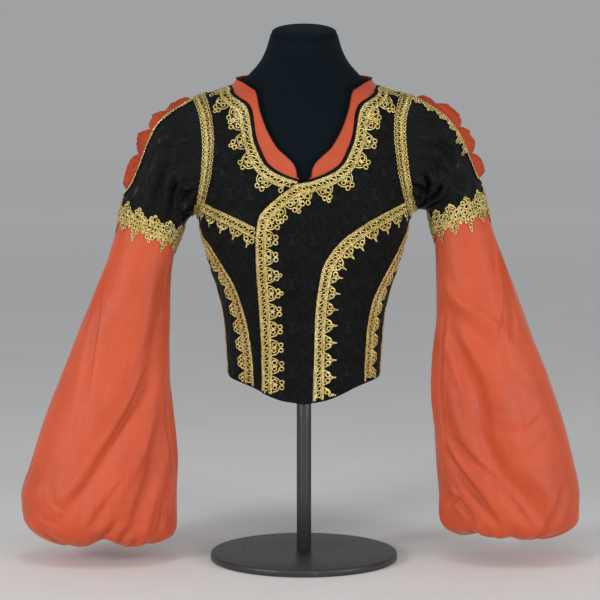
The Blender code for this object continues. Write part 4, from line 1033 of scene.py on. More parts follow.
def plait(wires, u0, u1, w, half_width, period=6.2, strands=2, half=0.95, step=1.15):
    """Strands that cross and recross, in short lengths so that they can be cut at an edge."""
    piece = 8
    total = np.arange(u0, u1 + step / 2, step)
    for k in range(strands):
        phase = 2 * math.pi * k / strands + rng.uniform(-.15, .15)
        a = 2 * math.pi * total / period + phase
        line = np.stack([total, w + half_width * np.sin(a) + 0.12 * np.sin(total / 9.0 + k),
                         LIFT + 0.1 + 0.55 * np.cos(2 * a if strands == 2 else a)], -1)
        for i in range(0, len(line) - 1, piece - 1):
            part = line[i:i + piece]
            if len(part) >= 3:
                wires.add(part, half=half)


def straight_cord(wires, u0, u1, w, half=0.9, h=LIFT, step=3.0, wave=0.15):
    total = np.arange(u0, u1 + step / 2, step)
    line = np.stack([total, w + wave * np.sin(total / 5.0), h + 0 * total], -1)
    for i in range(0, len(line) - 1, 3):
        part = line[i:i + 4]
        if len(part) >= 2:
            wires.add(part, half=half)


def chain(wires, u0, u1, w, radius, pitch, half=1.0, h=None, count=12):
    """A row of small rings that touch, which reads as a beaded edge."""
    number = max(1, round((u1 - u0) / pitch))
    step = (u1 - u0) / number
    for k in range(number):
        wires.ring(u0 + (k + 0.5) * step, w + rng.uniform(-.25, .25), radius, half=half,
                   h=(LIFT if h is None else h) + rng.uniform(-.1, .35), count=count, oval=0.94)


def zigzag(wires, u0, u1, w0, w1, period=11.0, half=0.85):
    """Rungs with a slanting cord between them, which leave two dark triangles to each rung."""
    count = max(1, round((u1 - u0) / period))
    pitch = (u1 - u0) / count
    t = np.linspace(0, 1, 5)
    for k in range(count):
        u = u0 + k * pitch + rng.uniform(-.35, .35)
        wires.add(np.stack([u + 0 * t, w0 + (w1 - w0) * t, LIFT + 0.2 * np.sin(math.pi * t)], -1), half=half * 1.15)
        wires.add(np.stack([u + pitch * (0.16 + 0.66 * t), w0 + (w1 - w0) * (1 - t), LIFT + 0.2 * np.sin(math.pi * t)], -1), half=half)


def band(wires, u0, u1, edge=0.0, width=LACE_BAND):
    """The close part of a lace: plait, rungs and slants, plait."""
    chain(wires, u0, u1, edge + 2.2, 1.55, 4.3, half=1.0, count=10)
    straight_cord(wires, u0, u1, edge + 5.0, half=0.8)
    zigzag(wires, u0, u1, edge + 5.4, edge + width - 6.6, half=1.0)
    straight_cord(wires, u0, u1, edge + width - 6.2, half=0.8)
    plait(wires, u0, u1, edge + width - 2.9, 1.7, period=7.0, half=1.05)


def arc_path(points, count=8):
    """A smooth line through a few (u, w) points."""
    points = np.asarray(points, float)
    d = np.concatenate([[0], np.cumsum(np.linalg.norm(np.diff(points, axis=0), axis=1))])
    t = np.linspace(0, d[-1], count)
    return np.stack([through(d, points[:, 0])(t), through(d, points[:, 1])(t), LIFT + 0 * t], -1)


def trefoil(wires, u, base, grow=1.0):
    """A cluster of the front lace: two rings inside an arch, two at its tip."""
    j = rng.uniform(-0.35, 0.35, 10)
    a = (u, base)
    lean = rng.uniform(-0.5, 0.5)
    big = 3.3 + 0.5 * (rng.uniform() < 0.4)
    wires.ring(-5.3 + j[0], 3.8 + j[1], big * grow, anchor=a, h=LIFT + 0.3)
    wires.ring(4.9 + j[2], 3.5 + j[3], 3.2 * grow, anchor=a, h=LIFT + 0.3)
    wires.ring(-4.4 + j[4] + lean, 14.7 + j[5], 3.3 * grow, anchor=a, h=LIFT + 0.3)
    wires.ring(4.4 + j[6] + lean, 15.0 + j[7], 3.3 * grow, anchor=a, h=LIFT + 0.3)
    wires.add(arc_path([(-13.8, -0.8), (-12.7, 3.0), (-10.8, 7.2), (-7.4, 10.2), (-2.6, 11.6)], 10), anchor=a, half=WIRE * 0.95)
    wires.add(arc_path([(13.0, -0.8), (12.0, 3.2), (10.4, 7.2), (7.0, 10.2), (1.8, 11.4)], 10), anchor=a, half=WIRE * 0.95)
    wires.add(arc_path([(-0.2, 0.2), (0.3, 4.5), (-0.2, 8.6)], 6), anchor=a, half=WIRE * 0.9)
    if rng.uniform() < 0.3:
        wires.ring(0.0 + j[8], 20.6, 2.6, anchor=a, h=LIFT, count=12)


def picot_cluster(wires, u, base):
    """A cluster of the curved seams' lace: two rings and a pointed tip."""
    j = rng.uniform(-0.35, 0.35, 8)
    a = (u, base)
    wires.ring(-5.0 + j[0], 4.4 + j[1], 3.2, anchor=a, h=LIFT)
    wires.ring(4.8 + j[2], 4.4 + j[3], 3.2, anchor=a, h=LIFT)
    wires.ring(0.1 + j[4], 9.2 + j[5], 2.3, anchor=a, h=LIFT, count=12)
    wires.add(arc_path([(-1.3, 10.4), (-0.7, 14.0), (0.2, 18.6)], 6), anchor=a, half=WIRE * 0.85)
    wires.add(arc_path([(1.7, 10.2), (1.0, 14.2), (0.4, 18.2)], 6), anchor=a, half=WIRE * 0.85)
    wires.add(arc_path([(-12.4, -0.8), (-10.6, 2.2), (-8.9, 6.0), (-5.6, 8.9), (-2.0, 9.6)], 9), anchor=a, half=WIRE * 0.95)
    wires.add(arc_path([(12.0, -0.8), (10.4, 2.4), (8.7, 6.2), (5.6, 8.9), (2.0, 9.4)], 9), anchor=a, half=WIRE * 0.95)


def round_cluster(wires, u, base):
    """A cluster of the side laces: rings heaped into a rounded scallop."""
    j = rng.uniform(-0.4, 0.4, 12)
    a = (u, base)
    wires.ring(-6.6 + j[0], 2.9 + j[1], 3.1, anchor=a, h=LIFT)
    wires.ring(0.2 + j[2], 3.4 + j[3], 3.1, anchor=a, h=LIFT + 0.4)
    wires.ring(6.7 + j[4], 2.9 + j[5], 3.1, anchor=a, h=LIFT)
    wires.ring(-3.9 + j[6], 9.4 + j[7], 3.2, anchor=a, h=LIFT + 0.2)
    wires.ring(3.7 + j[8], 9.7 + j[9], 3.2, anchor=a, h=LIFT + 0.2)
    wires.add(arc_path([(-13.0, -0.8), (-11.6, 2.6), (-9.6, 6.4), (-7.6, 8.6)], 7), anchor=a, half=WIRE * 0.9)
    wires.add(arc_path([(13.0, -0.8), (11.6, 2.6), (9.6, 6.4), (7.5, 8.8)], 7), anchor=a, half=WIRE * 0.9)


def bodice_lace(name, rows, way, cluster, pitch, side=1, raised=None, keep=None, width=LACE_BAND,
                indent=0.3):
    strip = BodiceStrip(rows, way, side, raised, keep, indent)
    wires = Wires()
    band(wires, 0.0, strip.long, width=width)
    count = max(1, int(strip.long / pitch))
    step = strip.long / count
    for k in range(count):
        cluster(wires, (k + 0.5) * step, width)
    ob = wires.mesh(name, strip)
    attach(ob, "root")
    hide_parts(name)
    flat = (round(LACE_WIDTH / 1000, 4), round(strip.long / 1000, 3))
    cut = flat[0] * flat[1] * 0.86
    SHEETS.append((name, flat, round(cut, 4)))
    return ob


ARM_RING = armhole(np.arange(0, 360, 3.0))
ARM_RING = form_point(ARM_RING[:, 0], ARM_RING[:, 1])
closing = through([z for _, z in CLOSURE[::-1]], [t for t, _ in CLOSURE[::-1]])


def off_armhole(turn, height):
    p = form_point(np.abs(turn), height)
    d = np.full(p.shape[:-1], 1e9)
    for q in ARM_RING:
        d = np.minimum(d, np.linalg.norm(p - q, axis=-1))
    return d > BRAID_WIDTH / 2 - 2.5


def off_closing(turn, height):
    """For places on the right, as positive turns: outside the left front's edge."""
    return off_armhole(turn, height) & (-turn < closing(height) - 0.6)


bodice_lace("front_edge_lace", NECK_LACE + to_hem(CLOSURE), 1, trefoil, PITCH, 1, lap, off_armhole)
bodice_lace("right_neck_lace", NECK_LACE, 1, trefoil, PITCH, -1, None, off_closing)
for side, word, seam_line in ((1, "left", SIDE_LEFT), (-1, "right", SIDE_RIGHT)):
    bodice_lace(word + "_side_lace", to_hem([SIDE_LACE_TOP] + seam_line[1:]), 1, round_cluster, 29.0,
                side, None, off_armhole)
    ahead = [(t - 4.2, z) for t, z in to_hem([BACK_LACE_TOP] + BACK_SEAM[2:])]
    bodice_lace(word + "_back_lace", ahead, -1, round_cluster, 29.0,
                side, None, off_armhole)
bodice_lace("left_princess_lace", to_hem([PRINCESS_LACE_TOP] + PRINCESS[2:]), 1, picot_cluster, 28.0, 1,
            None, off_armhole)
bodice_lace("right_princess_lace", [PRINCESS_LACE_TOP] + PRINCESS_RIGHT[2:4] + [PRINCESS_LACE_END], 1,
            picot_cluster, 27.0, -1, None, off_closing)
half = list(NECK_BACK_LACE)
bodice_lace("back_neck_lace", half + [(360 - t, z) for t, z in half[::-1][1:]], -1, trefoil, PITCH, 1,
            None, off_armhole)


# --------------------------------------------------------------- neck band
def neck_band(name, outer_edge, inner_edge, side, whole=False):
    u = np.linspace(0, 1, 13)[None, :, None]
    g = (1 - u) * outer_edge[:, None] + u * inner_edge[:, None]
    g = inset(g * np.array([side, 1.0]))
    turn, height = g[..., 0], g[..., 1]
    if whole:
        stand = BAND_STAND * u[..., 0] * np.ones(turn.shape)
    else:
        stand = BAND_STAND * ease((np.abs(turn) - 35) / 40) * u[..., 0]
    # the band is folded silk: its edge is full and its face slightly hollow
    body = 0.7 * np.sin(math.pi * u[..., 0]) * -0.6 + ripple(turn * 3, height, 30, 21) * 0.22
    outer = over_form(turn, height, EASE + SILK_WALL + stand + body)
    inner = over_form(turn, height, EASE + stand + np.minimum(body, 0))
    along = np.concatenate([[0], np.cumsum(np.linalg.norm(np.diff(outer[:, 6], axis=0), axis=1))])
    across = np.linspace(0, 16, 13)
    uv = np.stack([across[None] + 0 * along[:, None], along[:, None] + 0 * across[None]], -1)
    # the band uses the darker silk with painted shade
    return shell(name, outer, inner, PAINTED_SHADE_COLLAR_SILK, uv), outer


def cord_tube(name, centre, normal, half, material, flat=1.0, sides=8):
    tangent = unit(np.gradient(centre, axis=0))
    across = unit(np.cross(tangent, normal))
    up = np.cross(across, tangent)
    a = np.linspace(0, 2 * math.pi, sides, endpoint=False)
    ring = (centre[:, None] + across[:, None] * np.cos(a)[None, :, None] * half
            + up[:, None] * np.sin(a)[None, :, None] * half * flat)
    n = len(centre)
    quads = grid_quads(n, sides, 0, True)
    far = np.concatenate([[0], np.cumsum(np.linalg.norm(np.diff(centre, axis=0), axis=1))])
    i, j = np.meshgrid(np.arange(n - 1), np.arange(sides), indexing="ij")
    lap_round = 8.0 / sides
    uv = np.stack([np.stack([far[i], j * lap_round], -1), np.stack([far[i], (j + 1) * lap_round], -1),
                   np.stack([far[i + 1], (j + 1) * lap_round], -1), np.stack([far[i + 1], j * lap_round], -1)], 2)
    faces = quads.tolist() + [list(range(sides))[::-1], list(range((n - 1) * sides, n * sides))]
    all_uv = np.concatenate([uv.reshape(-1, 2), np.zeros((2 * sides, 2))])
    return build(name + "_wound", ring.reshape(-1, 3), faces, all_uv, material)


def edge_cord(name, rows, side):
    g = resample(rows, 110)
    p = form_point(g[:, 0], g[:, 1])
    along = unit(np.gradient(p, axis=0))
    across = np.cross(form_normal(g[:, 0], g[:, 1]), along)
    low = form_point(g[:, 0] + 1, g[:, 1] - 3) - p
    across *= np.sign((across * low).sum(-1, keepdims=True))
    t, z = walk(g[:, 0], g[:, 1], across * 0.9)
    stand = BAND_STAND * ease((np.abs(t) - 35) / 40)
    centre = over_form(t * side, z, EASE + SILK_WALL + stand + 0.7)
    normal = form_normal(t * side, z)
    ob = cord_tube(name, centre, normal, 1.25, CORD)
    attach(ob, "root")
    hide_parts(name)
    return ob


collar_line, collar_back = resample(COLLAR, 56), resample(COLLAR_BACK, 5 * F)
neck_fine = resample(NECK, 56)
for word, side in (("left", 1), ("right", -1)):
    ob, grid = neck_band("collar_" + word, neck_fine, collar_line, side)
    piping = edge_cord("collar_cord_" + word, COLLAR, side)
    finish_cloth(ob, "collar_" + word, grid)


def full_turn(rows):
    rows = np.concatenate([rows * [-1, 1], rows[::-1][1:]])
    rows[:, 0] = np.where(rows[:, 0] < 0, rows[:, 0] + 360, rows[:, 0])
    return rows


ob, grid = neck_band("collar_back", full_turn(neck_back), full_turn(collar_back), 1, True)
finish_cloth(ob, "collar_back", grid)


# ----------------------------------------------------------------- sleeves
def toward_middle(deg):
    a = armhole(deg)
    here = form_point(a[..., 0], a[..., 1])
    ahead, behind = armhole(np.asarray(deg) + 1.5), armhole(np.asarray(deg) - 1.5)
    along = unit(form_point(ahead[..., 0], ahead[..., 1]) - form_point(behind[..., 0], behind[..., 1]))
    across = np.cross(form_normal(a[..., 0], a[..., 1]), along)
    to_mid = form_point(90.0, ARM_MID) - here
    return across * np.sign((across * to_mid).sum(-1, keepdims=True))


def sleeve_scale(table):
    """Girth in mm at s, and distance in mm along the sleeve to s."""
    s = table[:, 0]
    half = np.hypot(table[:, 1] - table[:, 3], table[:, 2] - table[:, 4]) / 2
    round_it = math.pi * (3 * (half + table[:, 5]) - np.sqrt((3 * half + table[:, 5]) * (half + 3 * table[:, 5])))
    mid = np.stack([(table[:, 1] + table[:, 3]) / 2, (table[:, 2] + table[:, 4]) / 2], -1)
    far = np.concatenate([[0], np.cumsum(np.linalg.norm(np.diff(mid, axis=0), axis=1))])
    return through(s, round_it), through(s, far)


def crease_field(creases, table):
    girth_at, far_at = sleeve_scale(table)

    def rise(deg, s):
        k, b = girth_at(s) / 360, far_at(s)
        out = 0 * b
        for depth, low, high, points in creases:
            middle = np.mean([p[0] for p in points])
            d = (deg - middle + 180) % 360 - 180 + middle
            best, sign, along = np.full(b.shape, 1e9), np.ones(b.shape), np.zeros(b.shape)
            for i in range(len(points) - 1):
                (d0, s0), (d1, s1) = points[i], points[i + 1]
                b0, b1 = far_at(s0), far_at(s1)
                vx, vy = (d1 - d0) * k, b1 - b0
                px, py = (d - d0) * k, b - b0
                t = np.clip((px * vx + py * vy) / (vx * vx + vy * vy), 0, 1)
                dist = np.hypot(px - t * vx, py - t * vy)
                near = dist < best
                best = np.where(near, dist, best)
                sign = np.where(near, np.sign(px * vy - py * vx), sign)
                along = np.where(near, (i + t) / (len(points) - 1), along)
            wide = np.where(sign > 0, high, low)
            q = best / wide
            taper = np.sin(math.pi * np.clip(0.02 + 0.96 * along, 0, 1))**0.55
            lip = 0.17 * np.exp(-1.3 * (q - 1.9)**2)
            out = out - depth * taper * (np.exp(-q * q) - lip)
        return out
    return rise


def sleeve_surface(table, creases, lobes, side, seed):
    col = [through(table[:, 0], table[:, k]) for k in range(1, 7)]
    field = crease_field(creases, table)
    girth_at, far_at = sleeve_scale(table)

    def point(deg, s):
        deg, s = np.broadcast_arrays(np.asarray(deg, float), np.asarray(s, float))
        ox, oz, ix, iz, deep, mid = [c(s) for c in col]
        c, sn = np.cos(np.radians(deg)), np.sin(np.radians(deg))
        c = np.sign(c) * np.abs(c)**(2 / SLEEVE_SQUARE)
        sn = np.sign(sn) * np.abs(sn)**(2 / SLEEVE_SQUARE)
        middle = np.stack([(ox + ix) / 2, mid, (oz + iz) / 2], -1)
        out = np.stack([(ox - ix) / 2 * c, -deep * sn, (oz - iz) / 2 * c], -1)
        rise = field(deg, s)
        # gathers that draw the bottom in, uneven round the sleeve
        wander = deg + 7 * np.sin(np.radians(3 * deg + seed * 40)) + 4 * np.sin(np.radians(5 * deg + 90))
        pleat = np.abs(np.sin(np.radians(wander * 9)))**0.75
        depth = 2.4 + 1.6 * np.sin(np.radians(2 * deg + 50 * seed)) + 1.2 * np.sin(np.radians(7 * deg))
        rise = rise + (pleat - 0.55) * np.maximum(depth, 0.6) * 1.1 * ease((s - 2.58) / 0.22)
        # slight crumple all over, less where the sleeve is fitted
        a, b = deg * girth_at(s) / 360, far_at(s)
        rise = rise + ripple(a * 1.5, b * 0.55, 55, seed + 30) * 0.42 * ease((s - 1.3) / 0.5)
        rise = rise + ripple(a, b, 24, seed + 31) * 0.12 * ease((s - 0.05) / 0.3)
        ring = middle + out + unit(out) * rise[..., None]
        # lobes of the bottom edge
        lift = 0
        for at, half, up in lobes:
            off = (deg - at + 180) % 360 - 180
            lift = lift + up * np.exp(-(off / half)**2)
        ring[..., 2] += lift * ease((s - 2.50) / 0.28)
        hole = armhole(deg)
        hole_turn, hole_height = walk(hole[..., 0], hole[..., 1], toward_middle(deg) * 0.6)
        seam = over_form(hole_turn, hole_height, EASE + WALL + bodice_rise(hole_turn, hole_height) * 0.5)
        w = ease(s / 0.30)[..., None]
        w = np.where(s[..., None] < 0.03, w, w)
        return ((1 - w) * seam + w * ring) * np.array([side, 1.0, 1.0])

    def normal(deg, s):
        du = point(np.asarray(deg) + 0.8, s) - point(np.asarray(deg) - 0.8, s)
        dv = point(deg, np.asarray(s) + 0.005) - point(deg, np.maximum(np.asarray(s) - 0.005, 0))
        return unit(np.cross(du, dv)) * side
    return point, normal, girth_at, far_at


slit_table = np.array(SLIT, float)


def slit(s):
    return np.interp(s, slit_table[:, 0], slit_table[:, 1])


def sleeve_shell(name, point, normal, scale, deg, s, thick, material, around=False, lift=0.0):
    n = normal(deg, s)
    p = point(deg, s) + n * (np.asarray(lift) + 0 * deg)[..., None]
    girth_at, far_at = scale
    d = np.concatenate([deg, deg[:, :1] + 360], 1) if around else deg
    ss = np.concatenate([s, s[:, :1]], 1) if around else s
    uv = np.stack([(d - 90) / 360 * (0.35 * girth_at(ss) + 260), far_at(ss)], -1)
    return shell(name, p, p - n * thick, material, uv, around), p


def cuff_lace(name, point, normal, scale):
    """Wide lace round the upper arm: flowers, lobes above and pointed tips below."""
    girth_at, far_at = scale
    n = 150
    deg = np.linspace(0, 360, 721)
    mid = point(deg, np.full(721, 1.12))
    run = np.concatenate([[0], np.cumsum(np.linalg.norm(np.diff(mid, axis=0), axis=1))])
    at = np.interp(np.linspace(0, run[-1], n + 1), run, deg)
    w = np.array([-30, -24, -18, -12, -6, 0, 6, 12, 18, 24, 30.0])
    ss = 1.12 + w / 25.0 * 0.12
    place = point(at[:, None] * np.ones(len(w)), ss[None] * np.ones((n + 1, 1)))
    norm = normal(at[:, None] * np.ones(len(w)), ss[None] * np.ones((n + 1, 1)))
    strip = SurfaceStrip(place, norm, run[-1], w)
    strip.around = True
    wires = Wires()
    count = round(run[-1] / 27.0)
    pitch = run[-1] / count
    for k in range(count):
        u = (k + 0.5) * pitch + rng.uniform(-0.8, 0.8)
        down = rng.uniform(-1.2, 1.2)
        spots = [
            # along, across, radius, height over the cloth
            (0.0, -9.5, 3.4, 0.5), (-8.8, -8.4, 3.1, 0.2), (8.8, -8.4, 3.1, 0.2),
            (-4.6, -16.6, 3.1, 0.3), (4.6, -16.6, 3.1, 0.3), (0.1, -22.2, 2.5, 0.2),
            (-4.7, -1.6, 3.2, 0.2), (4.7, -1.6, 3.2, 0.4), (13.4, -1.4, 3.2, 0.5),
            (0.0, 5.8, 3.3, 0.5), (-8.9, 5.4, 3.1, 0.1), (8.9, 5.4, 3.1, 0.3),
            (-4.6, 12.6, 3.0, 0.3), (4.6, 12.8, 3.0, 0.1), (13.4, -8.9, 1.9, 0.0),
            (13.4, 5.8, 2.3, 0.0), (-12.4, 9.6, 1.6, 0.0)]
        for du, dw, r, up in spots:
            jump = down if dw > 9 else 0
            wires.ring(u + du + rng.uniform(-.9, .9), dw + jump + rng.uniform(-.9, .9), r * rng.uniform(.86, 1.05),
                       h=LIFT + up + rng.uniform(0, .5), half=WIRE * 1.16, count=14 if r > 2.6 else 11,
                       oval=rng.uniform(.86, 1.05), tilt=rng.uniform(0, 3))
        for _ in range(7):
            wires.ring(u + rng.uniform(-13, 13), rng.uniform(-15, 10), rng.uniform(1.5, 2.2), h=LIFT + rng.uniform(.9, 1.7),
                       half=WIRE * 0.85, count=10)
        if k % 2 == 0:
            wires.ring(u, 19.4 + down, 2.9, h=LIFT + 0.3, half=WIRE * 1.05)
            for lean in (-1, 1):
                wires.add([(u + 1.8 * lean, 21.5 + down, LIFT), (u + 1.5 * lean, 24.5 + down, LIFT), (u + 0.7 * lean, 28 + down, LIFT)], half=WIRE * 0.9)
        else:
            wires.ring(u, 18.6 + down, 2.3, h=LIFT, count=12)
    for w0, amp, phase in ((-12.6, 1.6, 0.0), (-5.2, 1.2, 1.7), (2.0, 1.2, 3.2), (8.6, 1.4, 0.6)):
        total = np.arange(0, run[-1], 2.2)
        line = np.stack([total, w0 + amp * np.sin(2 * math.pi * total / pitch * 2 + phase), LIFT - 0.3 + 0 * total], -1)
        for i in range(0, len(line) - 1, 9):
            part = line[i:i + 10]
            if len(part) >= 3:
                wires.add(part, half=0.95)
    ob = wires.mesh(name, strip)
    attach(ob, "root")
    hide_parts(name)
    flat = (0.055, round(run[-1] / 1000, 3))
    SHEETS.append((name, flat, round(flat[0] * flat[1] * 0.99, 4)))


# how far the middle of the braid stands to the sleeve's side of its seam: (deg, mm)
BRAID_WANDER_RIGHT = [(0, 5), (15, 7), (55, 6), (92, 0), (135, -5), (175, 0), (320, 0), (360, 5)]
BRAID_WANDER_LEFT = [(0, 2), (30, 3), (90, 3), (135, 0), (320, 0), (360, 2)]


def armhole_braid(name, point, normal, side):
    """Double braid over the armhole seam, half on the bodice and half on the sleeve."""
    n = 200
    deg = np.linspace(0, 360, n + 1)
    a = armhole(deg)
    seam_line = form_point(a[:, 0], a[:, 1])
    run = np.concatenate([[0], np.cumsum(np.linalg.norm(np.diff(seam_line, axis=0), axis=1))])
    deg = np.interp(np.linspace(0, run[-1], n + 1), run, deg)
    a = armhole(deg)
    flip = np.array([side, 1.0, 1.0])
    w = np.linspace(-12, 12, 25)
    wander = np.interp(deg, *np.array(BRAID_WANDER_LEFT if side > 0 else BRAID_WANDER_RIGHT, float).T)
    place, norm = np.zeros((n + 1, len(w), 3)), np.zeros((n + 1, len(w), 3))
    inward = toward_middle(deg)
    steps = np.linspace(0, .6, 61)
    path = point(deg[:, None] * np.ones((1, 61)), steps[None] * np.ones((n + 1, 1)))
    far = np.concatenate([np.zeros((n + 1, 1)), np.cumsum(np.linalg.norm(np.diff(path, axis=1), axis=2), axis=1)], 1)
    for k, x in enumerate(w):
        x = x + wander
        t, z = walk(a[:, 0], a[:, 1], inward * np.minimum(x, 0)[:, None])
        nn = form_normal(t, z)
        on_body = (form_point(t, z) + nn * (EASE + WALL + bodice_rise(t, z))[:, None]) * flip
        s_out = np.array([np.interp(max(q, 0.0), f, steps) for q, f in zip(x, far)])
        inner = (x <= 0)[:, None]
        place[:, k] = np.where(inner, on_body, point(deg, s_out))
        norm[:, k] = np.where(inner, nn * flip, normal(deg, s_out))
    for turn_over in range(4):
        norm[:, 1:-1] = unit(norm[:, :-2] + 2 * norm[:, 1:-1] + norm[:, 2:])
    norm = unit(norm)
    strip = SurfaceStrip(place, norm, run[-1], w)
    strip.around = True
    wires = Wires()
    chain(wires, 0, run[-1], -8.2, 2.5, 6.6, half=0.85)
    straight_cord(wires, 0, run[-1], -5.0, half=0.7)
    zigzag(wires, 0, run[-1], -4.8, 1.2, period=8.6, half=0.7)
    straight_cord(wires, 0, run[-1], 1.5, half=0.75)
    plait(wires, 0, run[-1], 3.7, 0.9, period=5.6, half=0.9)
    chain(wires, 0, run[-1], 8.2, 2.45, 6.4, half=0.85)
    ob = wires.mesh(name, strip)
    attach(ob, "root")
    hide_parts(name)
    flat = (BRAID_WIDTH / 1000, round(run[-1] / 1000, 3))
    SHEETS.append((name, flat, round(flat[0] * flat[1], 4)))


def slit_braid(name, point, normal, scale, way, scallops):
    girth_at, _ = scale
    s = np.linspace(.12, .99, 90)
    w = np.array([-1, 0, 2, 4, 6, 8, 11, 14, 17, 20, 24.0])
    per = 360 / girth_at(s)
    deg = way * (slit(s)[:, None] + 0.2 + w[None] * per[:, None])
    ss = s[:, None] * np.ones(len(w))
    place, norm = point(deg, ss), normal(deg, ss)
    run = np.concatenate([[0], np.cumsum(np.linalg.norm(np.diff(place[:, 2], axis=0), axis=1))])
    at = np.interp(np.linspace(0, run[-1], 140), run, s)
    per = 360 / girth_at(at)
    deg = way * (slit(at)[:, None] + 0.2 + w[None] * per[:, None])
    ss = at[:, None] * np.ones(len(w))
    strip = SurfaceStrip(point(deg, ss), normal(deg, ss), run[-1], w)
    wires = Wires()
    plait(wires, 0, run[-1], 1.5, 1.1, period=5.2, half=1.0)
    straight_cord(wires, 0, run[-1], 3.4, half=0.8, h=LIFT + 0.8)
    count = int(run[-1] / 6.0)
    for k in range(count):
        u = (k + 0.5) * run[-1] / count
        big = (1.45 if k < count * 0.5 else 1.05) * (1.0 + 0.25 * math.sin(k * 0.9))
        wires.ring(u, 4.9 + 1.1 * big, 1.75 * big, half=1.0, h=LIFT + 1.1, count=10)
        if scallops and k < count * 0.62:
            deep = 10.6 + 1.0 * math.sin(k * 1.5)
            wires.ring(u + 1.5, deep, 2.5, half=1.05, h=LIFT + 0.5, count=11)
            if k % 4 != 3:
                wires.ring(u - 0.8, deep + 4.5, 2.3, half=1.0, h=LIFT + 0.3, count=10)
            if k % 4 == 1:
                wires.ring(u - 0.6, deep + 9.0, 2.1, half=1.0, h=LIFT + 0.3, count=10)
    ob = wires.mesh(name, strip, sides=5)
    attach(ob, "root")
    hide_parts(name)
    return ob


for side, word, table, low, up, lobes, puffs, seed in (
        (1, "left", SLEEVE_LEFT, CREASES_LEFT, UPPER_LEFT, LOBES_LEFT, PUFFS_LEFT, 2),
        (-1, "right", SLEEVE_RIGHT, CREASES_RIGHT, UPPER_RIGHT, LOBES_RIGHT, PUFFS_RIGHT, 1)):
    point, normal, girth_at, far_at = sleeve_surface(table, low + [((2.3 if side > 0 else 1.7) * row[0],) + row[1:] for row in up], lobes, side, seed)
    scale = (girth_at, far_at)

    # upper sleeve, open along the slit
    s = np.concatenate([[0, .015, .03], np.linspace(.05, UPPER_END, 54)])[:, None]
    half = slit(s)
    stations = finer(ARM_STATIONS, 2)[None]
    deg = half + stations * (360 - 2 * half) / 360
    ob, grid = sleeve_shell(word + "_upper_sleeve", point, normal, scale, deg, s + 0 * deg, WALL, SLEEVE_BROCADE)
    braids = [slit_braid("%s_slit_braid_%s" % (word, edge), point, normal, scale, way, side > 0 and way > 0)
              for way, edge in ((1, "front"), (-1, "back"))]
    finish_cloth(ob, word + "_upper_sleeve", grid)

    # puffs of silk drawn out through the slit
    rows, cols = 150, 41
    s = np.linspace(.135, .957, rows)[:, None]
    u = np.linspace(-1, 1, cols)[None]
    deg = u * np.maximum(slit(s) - 0.6, 0.2)
    k = (s - s[0]) / (s[-1] - s[0])
    # uneven puffs: each starts and ends at its own place
    wander = k + 0.016 * np.sin(9 * k + seed) * np.abs(u) + 0.014 * u
    puff, pinch = PUFF_LOW + 0 * wander, 0 * wander
    for begin, end, high in puffs:
        q = np.abs(2 * (wander - begin) / (end - begin) - 1)
        puff = np.maximum(puff, high * np.maximum(1 - q**2.6, 0)**0.6)
        pinch = np.maximum(pinch, np.exp(-((q - 1) / 0.25)**2))
    crumple = 1 - 2 * np.abs(ripple(u * 36, k * 185, 30, seed + 50, 5))
    small = 1 - 2 * np.abs(ripple(u * 30, k * 185, 15, seed + 60, 6))
    gather = 2 * np.abs(np.sin(u * 7.0 + 1.2 * np.sin(9 * k + seed) + 0.9)) - 1.3
    rough = 1.0 if side < 0 else 0.45
    folds = rough * (2.4 * crumple + 1.0 * small) * (1 - 0.6 * pinch) + (3.0 if side > 0 else 2.3) * (1 - 0.5 * pinch) * gather
    ends = (1 - ease((k - .95) / .05)) * ease(k / .05)
    lift = -0.6 + (puff + folds) * ends * (1 - np.abs(u)**2.2)**0.72
    lift = np.maximum(lift, -0.6)
    # the puffs use the darker silk with painted shade
    ob, grid = sleeve_shell(word + "_slit_puffs", point, normal, scale, deg, s + 0 * deg, SILK_WALL, PAINTED_SHADE_PUFF_SILK, lift=lift)
    finish_cloth(ob, word + "_slit_puffs", grid)

    # lower sleeve
    rows = 150
    s = np.concatenate([[LOWER_START, 1.14], np.linspace(1.16, 2.50, 92), np.linspace(2.51, 2.90, 50), [2.93, 2.96, MOUTH]])[:, None]
    deg = np.linspace(0, 360, 180, endpoint=False)[None] + 0 * s
    ob, grid = sleeve_shell(word + "_lower_sleeve", point, normal, scale, deg, s + 0 * deg, SILK_WALL, SILK, True)
    finish_cloth(ob, word + "_lower_sleeve", grid, around=True)

    cuff_lace(word + "_cuff_lace", point, normal, scale)
    armhole_braid(word + "_armhole_braid", point, normal, side)


# ---------------------------------------------------------- form and stand
def solid(name, rings, material, uv_scale=1.0):
    """A closed body from a list of rings of points, closed by a fan at either end."""
    rings = np.asarray(rings, float)
    n, m = rings.shape[:2]
    verts = np.concatenate([rings.reshape(-1, 3), [rings[0].mean(0), rings[-1].mean(0)]])
    quads = grid_quads(n, m, 0, True)
    far = np.concatenate([[0], np.cumsum(np.linalg.norm(np.diff(rings[:, 0], axis=0), axis=1))])
    wide = np.linalg.norm(np.diff(rings, axis=1), axis=2).sum(1).max() / m
    i, j = np.meshgrid(np.arange(n - 1), np.arange(m), indexing="ij")
    uv = np.stack([np.stack([j * wide, far[i]], -1), np.stack([(j + 1) * wide, far[i]], -1),
                   np.stack([(j + 1) * wide, far[i + 1]], -1), np.stack([j * wide, far[i + 1]], -1)], 2).reshape(-1, 2)
    fans = []
    for j in range(m):
        fans.append((n * m, (j + 1) % m, j))
    for j in range(m):
        fans.append((n * m + 1, (n - 1) * m + j, (n - 1) * m + (j + 1) % m))
    fan_uv = verts[np.array(fans).ravel()][:, :2]
    faces = quads.tolist() + [list(f) for f in fans]
    ob = build(name, verts, faces, np.concatenate([uv, fan_uv]), material)
    return ob


